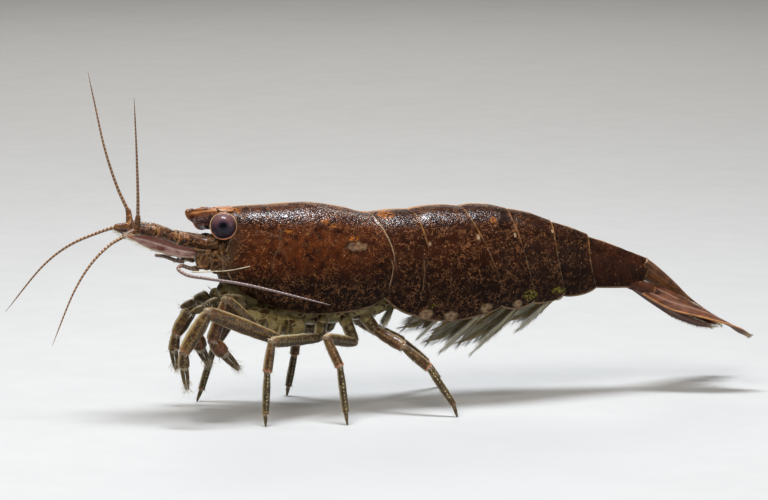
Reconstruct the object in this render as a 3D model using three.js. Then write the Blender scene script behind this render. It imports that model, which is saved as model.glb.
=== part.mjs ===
// Freshwater dwarf shrimp, adult female, life size, standing on six walking legs with its claws lowered
// to pick at the ground.  Millimetres.  The head points to -X, the back to +Z and its left side to -Y.
// The floor is z = 0, and the middle of the animal's length and width is x = 0, y = 0.
import * as THREE from 'three';

// ---------------------------------------------------------------- driving sizes
const GAP = 0.1; // clear space between neighbouring pieces
const THIN = 0.26; // least half thickness of a feeler, fin or leg
const LEFT = -1; // the sign of y on the animal's left side
const RIGHT = 1;

const EYE_RADIUS = 0.6;
const EYE_SPREAD = 1.45; // from the middle plane to an eye's centre
const EYE_HEIGHT = 9.3;
const EYE_CLEARANCE = 0.12; // between an eye's round back and the end of its stalk
const STALK_HEIGHT = 9.12;
const ROSTRUM_TIP = -9.8;
const BACK_HEIGHT = 10.0;
const SCALE_SPREAD = 1.25; // the antennal scales' distance from the middle plane
const PEDUNCLE_SPREAD = 0.42; // the antennules' distance from the middle plane
const STEM_SEGMENTS = 3;
const TURN_CROWDING = 1.5; // sets an antenna's rings closer together in the turn near its root
const HEM_ANGLE = (5 / 6) * Math.PI; // a side plate's lower edge, from the back round to the belly
const PLATE_SIDES = 24;
const ORBIT_ANGLE = Math.PI / 4; // the middle of the notch for the eye, from the back round to the side
const ORBIT_SPREAD = 0.36;
const MITRE_INSET = 0.14; // least distance from a joint to the rings that keep its bend sharp
const MITRE_CLEARANCE = 0.06;
const LIMB_SIDES = 7;
const FLAGELLUM_SIDES = 6;

const SHELL_ROUGHNESS = 0.35;
const EYE_ROUGHNESS = 0.1;
const COLOURS = {
  shell: 0x4a2417,
  shellDark: 0x331a12,
  rostrum: 0x9a4a22,
  flesh: 0x6b5a34,
  eye: 0x241f2b,
  stalk: 0x7a5c40,
  feeler: 0x9a7448,
  scale: 0x8d6a62,
  leg: 0x6a5b38,
  claw: 0x6c4227,
  swimmeret: 0x77735a,
  fan: 0x6e3a22,
};

const shrimp = new THREE.Group();

// ---------------------------------------------------------------- shared making of shapes
// A cubic curve through [x, value] pairs, as a function of x.
function smooth(points) {
  const slope = (i) => {
    const before = points[Math.max(0, i - 1)];
    const after = points[Math.min(points.length - 1, i + 1)];
    return (after[1] - before[1]) / (after[0] - before[0]);
  };
  return (x) => {
    let i = 0;
    while (i < points.length - 2 && x > points[i + 1][0]) i += 1;
    const [x0, v0] = points[i];
    const [x1, v1] = points[i + 1];
    const width = x1 - x0;
    const t = THREE.MathUtils.clamp((x - x0) / width, 0, 1);
    const rise = (v1 - v0) * t * t * (3 - 2 * t);
    return v0 + rise + width * t * (1 - t) * (slope(i) * (1 - t) - slope(i + 1) * t);
  };
}

// A closed cylinder whose every vertex is moved to place(row fraction, angle, onRim).
function mould(name, colour, sides, rows, place) {
  const geometry = new THREE.CylinderGeometry(1, 1, 1, sides, rows);
  const position = geometry.attributes.position;
  const vertex = new THREE.Vector3();
  for (let i = 0; i < position.count; i += 1) {
    vertex.fromBufferAttribute(position, i);
    const onRim = Math.hypot(vertex.x, vertex.z) > 0.5;
    const angle = Math.atan2(vertex.x, vertex.z);
    const row = Math.round((0.5 - vertex.y) * rows);
    const placed = place(row / rows, angle, onRim);
    position.setXYZ(i, placed.x, placed.y, placed.z);
  }
  faceOutward(geometry);
  geometry.computeVertexNormals();
  shrimp.add(named(name, geometry, colour, SHELL_ROUGHNESS));
}

function named(name, geometry, colour, roughness) {
  const material = new THREE.MeshStandardMaterial({ color: colour, roughness, metalness: 0 });
  const mesh = new THREE.Mesh(geometry, material);
  mesh.name = name;
  return mesh;
}

// Turns every triangle over when the closed surface encloses a negative volume.
function faceOutward(geometry) {
  const index = geometry.index;
  const position = geometry.attributes.position;
  const corner = (i) => new THREE.Vector3().fromBufferAttribute(position, index.getX(i));
  let volume = 0;
  for (let i = 0; i < index.count; i += 3) {
    volume += corner(i).dot(corner(i + 1).cross(corner(i + 2)));
  }
  if (volume > 0) return;
  for (let i = 0; i < index.count; i += 3) {
    const second = index.getX(i + 1);
    index.setX(i + 1, index.getX(i + 2));
    index.setX(i + 2, second);
  }
}

// A solid skin over stations { at, along, halfWidth, halfDepth }.  Its width starts out near the direction
// across, and is carried from station to station without twisting.
function skin(name, colour, sides, stations, across) {
  const frames = [];
  let carried = across.clone();
  stations.forEach((station) => {
    const along = station.along.clone().normalize();
    carried = carried.clone().addScaledVector(along, -carried.dot(along)).normalize();
    frames.push({ station, wide: carried, deep: along.clone().cross(carried) });
  });
  const rows = stations.length - 1;
  mould(name, colour, sides, rows, (u, angle, onRim) => {
    const { station, wide, deep } = frames[Math.round(u * rows)];
    const point = station.at.clone();
    if (!onRim) return point;
    point.addScaledVector(wide, station.halfWidth * Math.sin(angle));
    return point.addScaledVector(deep, station.halfDepth * Math.cos(angle));
  });
}

// Stations along a smooth curve through the points, evenly spaced or crowded towards its start.
function curveStations(points, rows, halfWidth, halfDepth, crowding = 1) {
  const curve = new THREE.CatmullRomCurve3(points, false, 'centripetal');
  return Array.from({ length: rows + 1 }, (_, i) => {
    const u = (i / rows) ** crowding;
    const at = curve.getPointAt(u);
    const along = curve.getTangentAt(u);
    return { at, along, halfWidth: halfWidth(u), halfDepth: halfDepth(u) };
  });
}

// Half widths along a piece: an even taper, a rounding off, and a swell over part of a sine's arch.
const taper = (start, end) => (u) => THREE.MathUtils.lerp(start, end, u);
const roundOff = (start, end) => (u) => THREE.MathUtils.lerp(start, end, u * u);
const swell = (edge, middle, from = 0, to = 1, power = 1) => (u) => (
  edge + (middle - edge) * Math.sin(Math.PI * THREE.MathUtils.lerp(from, to, u)) ** power
);
const even = (size) => () => size;

// Stations of a jointed limb: one mitred at each joint, one close on either side of it, and both ends.
function jointStations(joints, radii) {
  const runs = joints.slice(1).map((joint, i) => joint.clone().sub(joints[i]).normalize());
  const round = (at, along, radius) => ({ at, along, halfWidth: radius, halfDepth: radius });
  const stations = [round(joints[0].clone(), runs[0], radii[0])];
  for (let i = 1; i < joints.length - 1; i += 1) {
    const [before, after] = [runs[i - 1], runs[i]];
    const halfBend = before.angleTo(after) / 2;
    const inset = Math.max(MITRE_INSET, radii[i] * Math.tan(halfBend) + MITRE_CLEARANCE);
    stations.push(round(joints[i].clone().addScaledVector(before, -inset), before, radii[i]));
    stations.push(round(joints[i].clone(), before.clone().add(after), radii[i]));
    stations.push(round(joints[i].clone().addScaledVector(after, inset), after, radii[i]));
  }
  stations.push(round(joints.at(-1).clone(), runs.at(-1), radii.at(-1)));
  return stations;
}

const point = (x, y, z) => new THREE.Vector3(x, y, z);
const ACROSS = point(0, 1, 0);
const mirrored = (side, points) => points.map(([x, y, z]) => point(x, side * y, z));
const sideName = (side) => (side === LEFT ? 'left' : 'right');

// ---------------------------------------------------------------- carapace and abdomen
const backLine = smooth([
  [-8.4, 9.95], [-6.1, BACK_HEIGHT], [-3.7, BACK_HEIGHT], [-2.2, 9.7], [-0.9, 9.38], [1.2, 9.44],
  [3.7, 9.46], [5.9, 9.26], [8.2, 8.56], [10.1, 7.82], [13.4, 6.45],
]);
const halfWidthLine = smooth([
  [-8.4, 1.3], [-6.5, 1.85], [-4.5, 2.1], [-2.0, 2.1], [0, 1.95], [3.7, 1.95],
  [5.9, 1.72], [8.2, 1.38], [10.1, 1.02], [13.4, 0.62],
]);

// A seam is the line round the body where one plate ends.  Down is 0 at the back and 1 at the lower edge.
function seam(top, hem, bow, low) {
  return { top, low, x: (down) => THREE.MathUtils.lerp(top, hem, down) + bow * 4 * down * (1 - down) };
}
const faceSeam = { top: -8.35, low: 5.75, x: (down) => -8.35 + 0.55 * down + 1.2 * down ** 5 };
const seams = [
  faceSeam,
  seam(-0.9, -0.5, 0.5, 5.6),
  seam(1.2, 1.15, 0.4, 4.6),
  seam(3.67, 5.42, 0.1, 4.9),
  seam(5.94, 7.03, -0.05, 4.95),
  seam(8.2, 8.65, -0.2, 5.15),
  seam(10.13, 10.38, -0.22, 5.3),
  seam(13.38, 12.75, 0.12, 5.15),
];
// arch: how far the back stands above the seams; drop: how far the side plate hangs below them;
// vault: how far the underside is arched up between the two side plates;
// orbit: how deep the notch for the eye is.
const plates = [
  { name: 'carapace', rows: 12, arch: 0, drop: 0.88, vault: 0.75, orbit: 0.75 },
  { name: 'abdomen_plate_1', rows: 6, arch: 0.08, drop: 0.3, vault: 0.95 },
  { name: 'abdomen_plate_2', rows: 7, arch: 0.13, drop: 0.62, vault: 0.95 },
  { name: 'abdomen_plate_3', rows: 7, arch: 0.14, drop: 0.4, vault: 0.75 },
  { name: 'abdomen_plate_4', rows: 6, arch: 0.12, drop: 0.36, vault: 0.6 },
  { name: 'abdomen_plate_5', rows: 6, arch: 0.08, drop: 0.3, vault: 0.45 },
  { name: 'abdomen_plate_6', rows: 6, arch: 0.06, drop: 0.04, vault: 0.12 },
];

function plate({ name, rows, arch, drop, vault, orbit = 0 }, front, rear) {
  const colour = name === 'carapace' ? COLOURS.shell : COLOURS.shellDark;
  mould(name, colour, PLATE_SIDES, rows, (row, angle, onRim) => {
    const u = (1 - Math.cos(Math.PI * row)) / 2;
    const round = Math.abs(angle);
    const down = (1 - Math.cos((Math.PI * Math.min(round, HEM_ANGLE)) / HEM_ANGLE)) / 2;
    const eyeSocket = orbit * Math.exp(-(((round - ORBIT_ANGLE) / ORBIT_SPREAD) ** 2));
    const x = THREE.MathUtils.lerp(front.x(down) + eyeSocket + GAP / 2, rear.x(down) - GAP / 2, u);
    const topX = THREE.MathUtils.lerp(front.top, rear.top, u);
    const top = backLine(topX) + arch * Math.sin(Math.PI * u);
    const low = THREE.MathUtils.lerp(front.low, rear.low, u) - drop * Math.sqrt(Math.sin(Math.PI * u));
    if (!onRim) {
      const middle = THREE.MathUtils.lerp(front.x(0.5) + GAP / 2, rear.x(0.5) - GAP / 2, u);
      return point(middle, 0, (top + low + vault) / 2);
    }
    const inward = THREE.MathUtils.smoothstep(round, HEM_ANGLE, Math.PI);
    const z = THREE.MathUtils.lerp(top, low, down) + vault * inward;
    const fullness = 1 - round / (2 * Math.PI); // the flanks are flatter than a circle's
    const out = halfWidthLine(topX) * Math.abs(Math.sin(angle)) ** fullness;
    return point(x, Math.sign(angle) * out, z);
  });
}
plates.forEach((shape, i) => plate(shape, seams[i], seams[i + 1]));

// ---------------------------------------------------------------- head
skin('rostrum', COLOURS.rostrum, 10, curveStations(
  [point(-8.5, 0, 9.76), point(-9.1, 0, 9.75), point(ROSTRUM_TIP, 0, 9.74)],
  6, taper(0.34, THIN), taper(THIN, 0.25),
), ACROSS);

skin('head', COLOURS.flesh, 14, curveStations(
  [point(-8.16, 0, 7.85), point(-8.7, 0, 7.92), point(-9.3, 0, 8.12)],
  5, taper(0.82, 0.72), roundOff(0.88, 0.52),
), ACROSS);

skin('mouthparts', COLOURS.flesh, 12, curveStations(
  [point(-6.95, 0, 5.75), point(-7.7, 0, 6.05), point(-8.45, 0, 6.25)],
  6, swell(0.45, 0.67, 0.15, 1), swell(0.42, 0.58),
), ACROSS);

const BARREL = 0.6; // the power that makes the trunk full for most of its length
skin('thorax', COLOURS.flesh, 12, curveStations(
  [point(-6.75, 0, 4.78), point(-5.0, 0, 4.68), point(-2.8, 0, 4.62), point(-0.75, 0, 4.72)],
  10, swell(0.52, 0.76, 0, 1, BARREL), swell(0.4, 0.6, 0, 1, BARREL),
), ACROSS);

const eyeX = new Map([[LEFT, -8.38], [RIGHT, -8.58]]);
for (const side of [LEFT, RIGHT]) {
  const geometry = new THREE.SphereGeometry(EYE_RADIUS, 12, 8).rotateX(Math.PI / 2);
  const eye = named(`eye_${sideName(side)}`, geometry, COLOURS.eye, EYE_ROUGHNESS);
  eye.position.set(eyeX.get(side), side * EYE_SPREAD, EYE_HEIGHT);
  shrimp.add(eye);

  const reach = EYE_SPREAD - EYE_RADIUS - EYE_CLEARANCE;
  const root = point(eyeX.get(side) - 0.15, side * (GAP / 2), STALK_HEIGHT);
  const cup = point(eyeX.get(side) - 0.07, side * reach, STALK_HEIGHT + 0.04);
  skin(`eyestalk_${sideName(side)}`, COLOURS.stalk, 10, curveStations(
    [root, cup], 3, taper(THIN, 0.31), taper(THIN, 0.28),
  ), point(1, 0, 0));
}

// ---------------------------------------------------------------- feelers
// Each pair's own bend: the left antennule's stem dips less than the right one's.
const stemTip = new Map([[LEFT, [-12.5, 0.5, 9.12]], [RIGHT, [-12.55, 0.46, 9.26]]]);
const flagella = [
  { name: 'antennule_outer_left', side: LEFT,
    route: [[-12.33, 0.72, 9.72], [-12.4, 1.0, 10.9], [-12.59, 1.5, 13.07], [-12.88, 2.2, 15.6]] },
  { name: 'antennule_inner_left', side: LEFT,
    route: [[-12.92, 0.62, 8.92], [-13.74, 0.9, 8.57], [-14.67, 1.1, 7.79], [-15.55, 1.3, 6.59],
      [-16.75, 1.6, 4.06]] },
  { name: 'antennule_outer_right', side: RIGHT,
    route: [[-12.42, 0.62, 9.86], [-12.92, 0.7, 11.0], [-13.48, 0.8, 12.8], [-13.9, 1.0, 14.92],
      [-14.2, 1.1, 16.48]] },
  { name: 'antennule_inner_right', side: RIGHT,
    route: [[-12.97, 0.55, 9.2], [-13.76, 0.8, 8.93], [-15.11, 1.2, 8.32], [-16.23, 1.6, 7.41],
      [-18.0, 2.3, 5.1]] },
  { name: 'antenna_left', side: LEFT,
    route: [[-9.9, 1.25, 7.32], [-10.42, 1.45, 7.5], [-10.72, 1.9, 7.42],
      [-10.42, 2.38, 7.2], [-9.6, 2.7, 7.05], [-8.0, 3.3, 6.8], [-6.3, 4.0, 6.4], [-4.2, 4.8, 5.85]] },
  { name: 'antenna_right', side: RIGHT,
    route: [[-9.9, 1.25, 7.32], [-10.42, 1.45, 7.5], [-10.7, 1.9, 7.5],
      [-10.4, 2.4, 7.4], [-9.5, 2.75, 7.35], [-7.8, 3.3, 7.3], [-5.6, 4.1, 7.1], [-3.0, 4.8, 6.6]] },
];

for (const side of [LEFT, RIGHT]) {
  const name = sideName(side);
  const stem = mirrored(side, [[-9.42, PEDUNCLE_SPREAD, 8.42], [-10.2, PEDUNCLE_SPREAD, 8.6],
    [-11.1, PEDUNCLE_SPREAD, 8.95], stemTip.get(side)]);
  const waist = (u) => Math.cos(2 * Math.PI * STEM_SEGMENTS * u); // 1 where two segments meet
  skin(`antennule_stem_${name}`, COLOURS.feeler, 10, curveStations(
    stem, 9, (u) => 0.3 + 0.02 * waist(u), (u) => taper(0.36, 0.28)(u) + 0.03 * waist(u),
  ), ACROSS);

  const base = mirrored(side, [[-8.08, 1.18, 7.5], [-8.9, 1.24, 7.6], [-9.62, 1.25, 7.78]]);
  skin(`antenna_base_${name}`, COLOURS.flesh, 10, curveStations(
    base, 5, even(0.28), roundOff(0.6, 0.4),
  ), ACROSS);

  // The scale is a blade, tilted so that its outer edge is the lower one.
  const blade = mirrored(side, [[-9.8, SCALE_SPREAD, 8.02], [-10.6, SCALE_SPREAD, 8.2],
    [-11.6, SCALE_SPREAD, 8.55], [-12.85, SCALE_SPREAD - 0.05, 8.96]]);
  skin(`antennal_scale_${name}`, COLOURS.scale, 10, curveStations(
    blade, 8, swell(0.27, 0.53, 0.12, 0.92), even(THIN),
  ), point(0, side * 0.77, -0.64));

  const palp = mirrored(side, [[-7.3, 1.03, 5.36], [-8.5, 0.98, 5.46],
    [-9.2, 0.92, 5.34], [-9.8, 0.85, 5.12]]);
  skin(`maxilliped_${name}`, COLOURS.leg, 8, curveStations(
    palp, 7, taper(0.28, THIN), taper(0.3, THIN),
  ), ACROSS);
}
flagella.forEach(({ name, side, route }) => {
  const turnsBack = name.startsWith('antenna_');
  const rows = turnsBack ? 15 : 9;
  const crowding = turnsBack ? TURN_CROWDING : 1;
  const stations = curveStations(mirrored(side, route), rows, even(THIN), even(THIN), crowding);
  skin(name, COLOURS.feeler, FLAGELLUM_SIDES, stations, point(0.3, 1, 0));
});

// ---------------------------------------------------------------- legs
// Joints from the hip outward, with y as the distance from the middle plane.  Claws hang free, and their
// radii swell at the palm.  A walking leg's last joint is its ankle, and its foot is a small flat at [x, y]
// on the floor.
const LEG_RADII = [0.27, 0.27, 0.27, THIN, THIN];
const legs = {
  claw_1_left: { side: LEFT, radii: [THIN, 0.27, 0.28, 0.29, 0.38, 0.25],
    joints: [[-6.1, 0.9, 4.62], [-6.65, 1.25, 4.15], [-8.37, 1.7, 5.78],
      [-9.05, 1.75, 3.9], [-8.45, 1.75, 3.25], [-7.72, 1.75, 2.46]] },
  claw_1_right: { side: RIGHT, radii: [THIN, 0.27, 0.28, 0.28, 0.36, 0.25],
    joints: [[-6.1, 0.9, 4.62], [-6.65, 1.25, 4.15], [-8.0, 1.65, 5.2],
      [-8.8, 1.75, 3.6], [-8.6, 1.75, 2.9], [-8.2, 1.75, 2.1]] },
  claw_2_left: { side: LEFT, radii: [THIN, 0.27, 0.28, 0.28, 0.34, 0.25],
    joints: [[-5.1, 0.9, 4.52], [-5.6, 1.7, 3.7], [-9.55, 2.75, 5.45],
      [-10.78, 2.9, 3.62], [-10.75, 2.9, 2.9], [-10.6, 2.9, 1.86]] },
  claw_2_right: { side: RIGHT, radii: [THIN, 0.27, 0.28, 0.28, 0.33, 0.25],
    joints: [[-5.1, 0.9, 4.52], [-5.6, 1.7, 3.7], [-8.6, 2.6, 5.05],
      [-9.55, 2.75, 3.5], [-9.65, 2.8, 2.7], [-9.5, 2.8, 1.75]] },
  leg_3_left: { side: LEFT, radii: LEG_RADII, foot: [-6.95, 3.45],
    joints: [[-3.4, 0.92, 4.55], [-3.7, 1.5, 3.72], [-6.45, 2.8, 3.88],
      [-6.76, 3.1, 2.5], [-6.95, 3.4, 0.55]] },
  leg_3_right: { side: RIGHT, radii: LEG_RADII, foot: [-8.25, 3.7],
    joints: [[-3.4, 0.92, 4.55], [-3.9, 1.6, 3.75], [-6.6, 2.8, 4.2],
      [-7.5, 3.3, 2.7], [-8.05, 3.6, 0.6]] },
  leg_4_left: { side: LEFT, radii: LEG_RADII, foot: [-3.2, 4.3],
    joints: [[-2.25, 0.92, 4.5], [-2.0, 1.6, 3.42], [-3.88, 3.2, 4.0],
      [-3.41, 3.8, 2.7], [-3.25, 4.2, 0.6]] },
  leg_4_right: { side: RIGHT, radii: LEG_RADII, foot: [-3.7, 3.8],
    joints: [[-2.25, 0.92, 4.5], [-2.3, 1.5, 3.6], [-3.45, 2.8, 3.5],
      [-3.45, 3.35, 2.1], [-3.65, 3.7, 0.5]] },
  leg_5_left: { side: LEFT, radii: LEG_RADII, foot: [2.35, 4.0],
    joints: [[-1.2, 0.92, 4.45], [-0.85, 1.4, 3.9], [0.13, 2.6, 3.26],
      [1.19, 3.3, 2.29], [2.2, 3.85, 0.6]] },
  leg_5_right: { side: RIGHT, radii: LEG_RADII, foot: [4.1, 3.75],
    joints: [[-1.2, 0.92, 4.45], [-0.8, 1.4, 3.85], [1.73, 2.5, 2.6],
      [3.2, 3.2, 1.35], [3.95, 3.65, 0.45]] },
};
Object.entries(legs).forEach(([name, { side, joints, radii, foot }]) => {
  const bends = mirrored(side, joints);
  const sizes = [...radii];
  if (foot) {
    bends.push(point(foot[0], side * foot[1], 0));
    sizes.push(THIN);
  }
  const stations = jointStations(bends, sizes);
  if (foot) stations.at(-1).along.set(0, 0, -1); // the foot's sole lies flat on the floor
  skin(name, foot ? COLOURS.leg : COLOURS.claw, LIMB_SIDES, stations, ACROSS);
});

// ---------------------------------------------------------------- swimmerets under the abdomen
const swimmerets = [
  { root: [0.35, 4.95], tip: [-0.35, 4.0], width: 0.3 },
  { root: [3.0, 4.55], tip: [1.2, 3.2], width: 0.4 },
  { root: [5.2, 4.6], tip: [2.7, 2.75], width: 0.42 },
  { root: [7.0, 4.75], tip: [4.3, 2.6], width: 0.42 },
  { root: [8.7, 4.95], tip: [6.6, 3.55], width: 0.34 },
];
swimmerets.forEach(({ root, tip, width }, i) => {
  for (const side of [LEFT, RIGHT]) {
    const spread = 0.62 - 0.05 * i;
    const bend = [(root[0] + tip[0]) / 2 - 0.05, (root[1] + tip[1]) / 2 - 0.12];
    const route = mirrored(side, [[root[0], spread - 0.1, root[1]], [bend[0], spread, bend[1]],
      [tip[0], spread + 0.1, tip[1]]]);
    skin(`swimmeret_${i + 1}_${sideName(side)}`, COLOURS.swimmeret, 8, curveStations(
      route, 5, swell(THIN, width, 0.15, 0.75), even(THIN),
    ), point(0.6, 0, 0.8));
  }
});

// ---------------------------------------------------------------- tail fan
skin('telson', COLOURS.fan, 10, curveStations(
  [point(13.42, 0, 5.95), point(14.6, 0, 5.06), point(15.4, 0, 4.36), point(16.5, 0, 3.62)],
  7, taper(0.6, 0.34), (u) => taper(0.34, THIN)(Math.min(1, 2 * u)),
), ACROSS);

for (const side of [LEFT, RIGHT]) {
  const name = sideName(side);
  const outer = mirrored(side, [[12.98, 0.74, 4.84], [14.3, 1.2, 4.36],
    [15.4, 1.52, 4.06], [16.6, 1.75, 3.54], [18.0, 1.95, 2.66]]);
  skin(`tail_outer_${name}`, COLOURS.fan, 10, curveStations(
    outer, 8, swell(0.28, 0.6, 0.04, 0.82), even(THIN),
  ), point(0, side * 0.86, -0.5));
  const inner = mirrored(side, [[13.5, 0.48, 4.52], [14.5, 0.62, 4.0],
    [15.5, 0.8, 3.42], [17.3, 1.05, 2.66]]);
  skin(`tail_inner_${name}`, COLOURS.fan, 10, curveStations(
    inner, 7, swell(0.27, 0.41, 0.04, 0.9), even(THIN),
  ), point(0, side * 0.94, -0.34));
}

export default shrimp;
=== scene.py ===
import functools
import math

import bpy
import numpy as np
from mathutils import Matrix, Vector


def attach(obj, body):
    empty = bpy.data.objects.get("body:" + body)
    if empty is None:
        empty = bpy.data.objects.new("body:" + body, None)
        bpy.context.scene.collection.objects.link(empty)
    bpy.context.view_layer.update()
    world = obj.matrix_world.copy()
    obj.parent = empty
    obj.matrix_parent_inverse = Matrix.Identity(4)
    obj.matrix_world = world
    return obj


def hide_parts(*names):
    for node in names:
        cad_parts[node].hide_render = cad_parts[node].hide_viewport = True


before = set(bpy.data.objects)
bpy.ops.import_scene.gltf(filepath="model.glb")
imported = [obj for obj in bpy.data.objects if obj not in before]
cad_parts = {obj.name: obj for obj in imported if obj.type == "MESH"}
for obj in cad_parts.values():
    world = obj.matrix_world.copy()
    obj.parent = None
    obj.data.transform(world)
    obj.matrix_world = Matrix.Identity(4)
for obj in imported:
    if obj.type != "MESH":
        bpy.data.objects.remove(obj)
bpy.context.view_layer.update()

# An adult dwarf shrimp, brown form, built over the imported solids.  Every size below is in millimetres in the
# solids' own frame: the head points to -X, the back to +Z, the left side to -Y, and the floor is z = 0.
MM = 0.001
SIDES = {"left": -1, "right": 1}
ACROSS = (0, 1, 0)
UPWARD = (0, 0, 1)
FINE_STEPS = 60  # between two points that a path is drawn through
WAVES = 7  # that make up a ripple


# ---------------------------------------- numbers and curves
def lerp(a, b, t):
    return a + (b - a) * t


def smoothstep(low, high, x):
    t = np.clip((np.asarray(x, float) - low) / (high - low), 0, 1)
    return t * t * (3 - 2 * t)


def bell(x, width):
    return np.exp(-((np.asarray(x, float) / width) ** 2))


def unit(vectors):
    vectors = np.asarray(vectors, float)
    return vectors / np.maximum(np.linalg.norm(vectors, axis=-1, keepdims=True), 1e-9)


def line(distance, at, width):
    """1 along a soft line that keeps that distance from an edge."""
    return bell(distance - at, width)


def full_circle(count):
    return np.linspace(0, 2 * math.pi, count, endpoint=False)


def run_along(points):
    """How far along a path each of its points is."""
    return np.r_[0, np.cumsum(np.linalg.norm(np.diff(points, axis=0), axis=1))]


def resampled(at, places, points):
    """The points of a path at other places along it."""
    return np.stack([np.interp(at, places, column) for column in np.transpose(points)], axis=1)


def hermite(points):
    """A cubic curve through (x, value) points, the same as the solids'."""
    xs, values = (np.array(column, float) for column in zip(*points))
    slopes = np.empty_like(xs)
    slopes[1:-1] = (values[2:] - values[:-2]) / (xs[2:] - xs[:-2])
    slopes[0] = (values[1] - values[0]) / (xs[1] - xs[0])
    slopes[-1] = (values[-1] - values[-2]) / (xs[-1] - xs[-2])

    def value(x):
        x = np.asarray(x, float)
        i = np.clip(np.searchsorted(xs, x, side="right") - 1, 0, len(xs) - 2)
        width = xs[i + 1] - xs[i]
        t = np.clip((x - xs[i]) / width, 0, 1)
        rise = (values[i + 1] - values[i]) * t * t * (3 - 2 * t)
        return values[i] + rise + width * t * (1 - t) * (slopes[i] * (1 - t) - slopes[i + 1] * t)

    return value


def smooth_path(points, count, crowding=1.0):
    """count + 1 places along a centripetal Catmull-Rom curve through the points."""
    p = np.array(points, float)
    p = np.vstack([2 * p[0] - p[1], p, 2 * p[-1] - p[-2]])
    dense = []
    t = np.linspace(0, 1, FINE_STEPS, endpoint=False)[:, None]
    for a, b, c, d in zip(p, p[1:], p[2:], p[3:]):
        before, width, after = (np.linalg.norm(v) ** 0.5 for v in (b - a, c - b, d - c))
        leave = ((b - a) / before - (c - a) / (before + width) + (c - b) / width) * width
        arrive = ((c - b) / width - (d - b) / (width + after) + (d - c) / after) * width
        square = -3 * b + 3 * c - 2 * leave - arrive
        cube = 2 * b - 2 * c + leave + arrive
        dense.append(b + leave * t + square * t**2 + cube * t**3)
    dense = np.vstack([*dense, p[-2]])
    run = run_along(dense)
    return resampled(np.linspace(0, 1, count + 1) ** crowding * run[-1], run, dense)


def ripple(points, size, seed):
    """Smooth noise of about -1 to 1 at each point, with its bumps about that size apart."""
    waves = np.random.default_rng(seed)
    points = np.asarray(points, float)
    total = np.zeros(points.shape[:-1])
    for _ in range(WAVES):
        direction = unit(waves.normal(size=3)) * 2 * math.pi / (size * waves.uniform(0.7, 1.4))
        total += np.sin(points @ direction + waves.uniform(0, 2 * math.pi))
    return total / (WAVES / 2)


def mirrored(side, points):
    return [(x, side * y, z) for x, y, z in points]


def rounded(u, length, radius, start=True):
    """How much of its radius a tube keeps at u, so that its end is rounded, and its start unless told not."""
    reach = min(0.45, radius / length)
    scale = np.ones_like(u)
    for inward in (u, 1 - u) if start else (1 - u,):
        scale = scale * np.sqrt(np.clip(1 - (1 - np.clip(inward / reach, 0, 1)) ** 2, 0.02, 1))
    return scale


def ends_crowded(count):
    """Steps from 0 to 1 that lie closer together near both ends."""
    s = np.linspace(0, 1, count)
    return lerp(s, (1 - np.cos(math.pi * s)) / 2, 0.7)


# ---------------------------------------- making meshes
class Shape:
    """One piece's points, faces and values at its points, gathered part by part."""

    def __init__(self):
        self.points, self.faces, self.values = [], [], []
        self.count = 0

    def add(self, points, faces, **values):
        self.faces.extend([tuple(int(i) + self.count for i in face) for face in faces])
        self.points.append(np.asarray(points, float))
        self.values.append({name: np.broadcast_to(value, len(points)) for name, value in values.items()})
        self.count += len(points)

    def rings(self, rings, start, end, **values):
        """A closed body over rings of points, with a fan of triangles at each end.  A value is a number, one
        for each ring, a grid, or a function of how far along the rings and round them a point is."""
        rings = np.asarray(rings, float)
        rows, columns = rings.shape[:2]
        index = np.arange(rows * columns).reshape(rows, columns)
        beside = np.roll(index, -1, axis=1)
        faces = np.stack([index[:-1], index[1:], beside[1:], beside[:-1]], axis=-1).reshape(-1, 4).tolist()
        faces += [(rows * columns, a, b) for a, b in zip(index[0], beside[0])]
        faces += [(rows * columns + 1, b, a) for a, b in zip(index[-1], beside[-1])]
        u, angle = np.linspace(0, 1, rows)[:, None], full_circle(columns)[None]
        flat = {}
        for name, value in values.items():
            value = np.asarray(value(u, angle) if callable(value) else value, float)
            grid = np.broadcast_to(value[:, None] if value.ndim == 1 else value, (rows, columns))
            flat[name] = np.r_[grid.ravel(), grid[0].mean(), grid[-1].mean()]
        self.add(np.vstack([rings.reshape(-1, 3), start, end]), faces, **flat)

    def mark(self, values_at):
        """Adds the values that a function gives for the places of the points."""
        for points, held in zip(self.points, self.values):
            held.update(values_at(points))

    def mesh(self, name, scale=MM):
        points = np.vstack(self.points)
        points[:, 2] = np.maximum(points[:, 2], 0)  # the feet are flat where they stand
        mesh = bpy.data.meshes.new(name)
        mesh.from_pydata((points * scale).tolist(), [], self.faces)
        for key in sorted({key for held in self.values for key in held}):
            parts = zip(self.points, self.values)
            column = np.concatenate([held.get(key, np.zeros(len(part))) for part, held in parts])
            mesh.attributes.new(key, "FLOAT", "POINT").data.foreach_set("value", column.astype(np.float32))
        mesh.shade_smooth()
        mesh.update()
        return mesh


def piece(name, shape, material, slot, *nodes):
    """Puts a finished shape, or hairs, in the scene in place of the CAD nodes that it stands for."""
    mesh = shape.mesh(name)
    mesh.materials.append(material)
    shown = bpy.data.objects.new(name, mesh)
    bpy.context.scene.collection.objects.link(shown)
    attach(shown, "root")
    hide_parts(*nodes)


def carried_frames(centres, across):
    """At each centre of a path: the direction along it, and two across it that don't twist."""
    along = unit(np.gradient(centres, axis=0))
    wide = np.empty_like(along)
    carried = np.asarray(across, float)
    for i, direction in enumerate(along):
        carried = unit(carried - direction * (carried @ direction))
        wide[i] = carried
    return along, wide, np.cross(along, wide)


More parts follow.
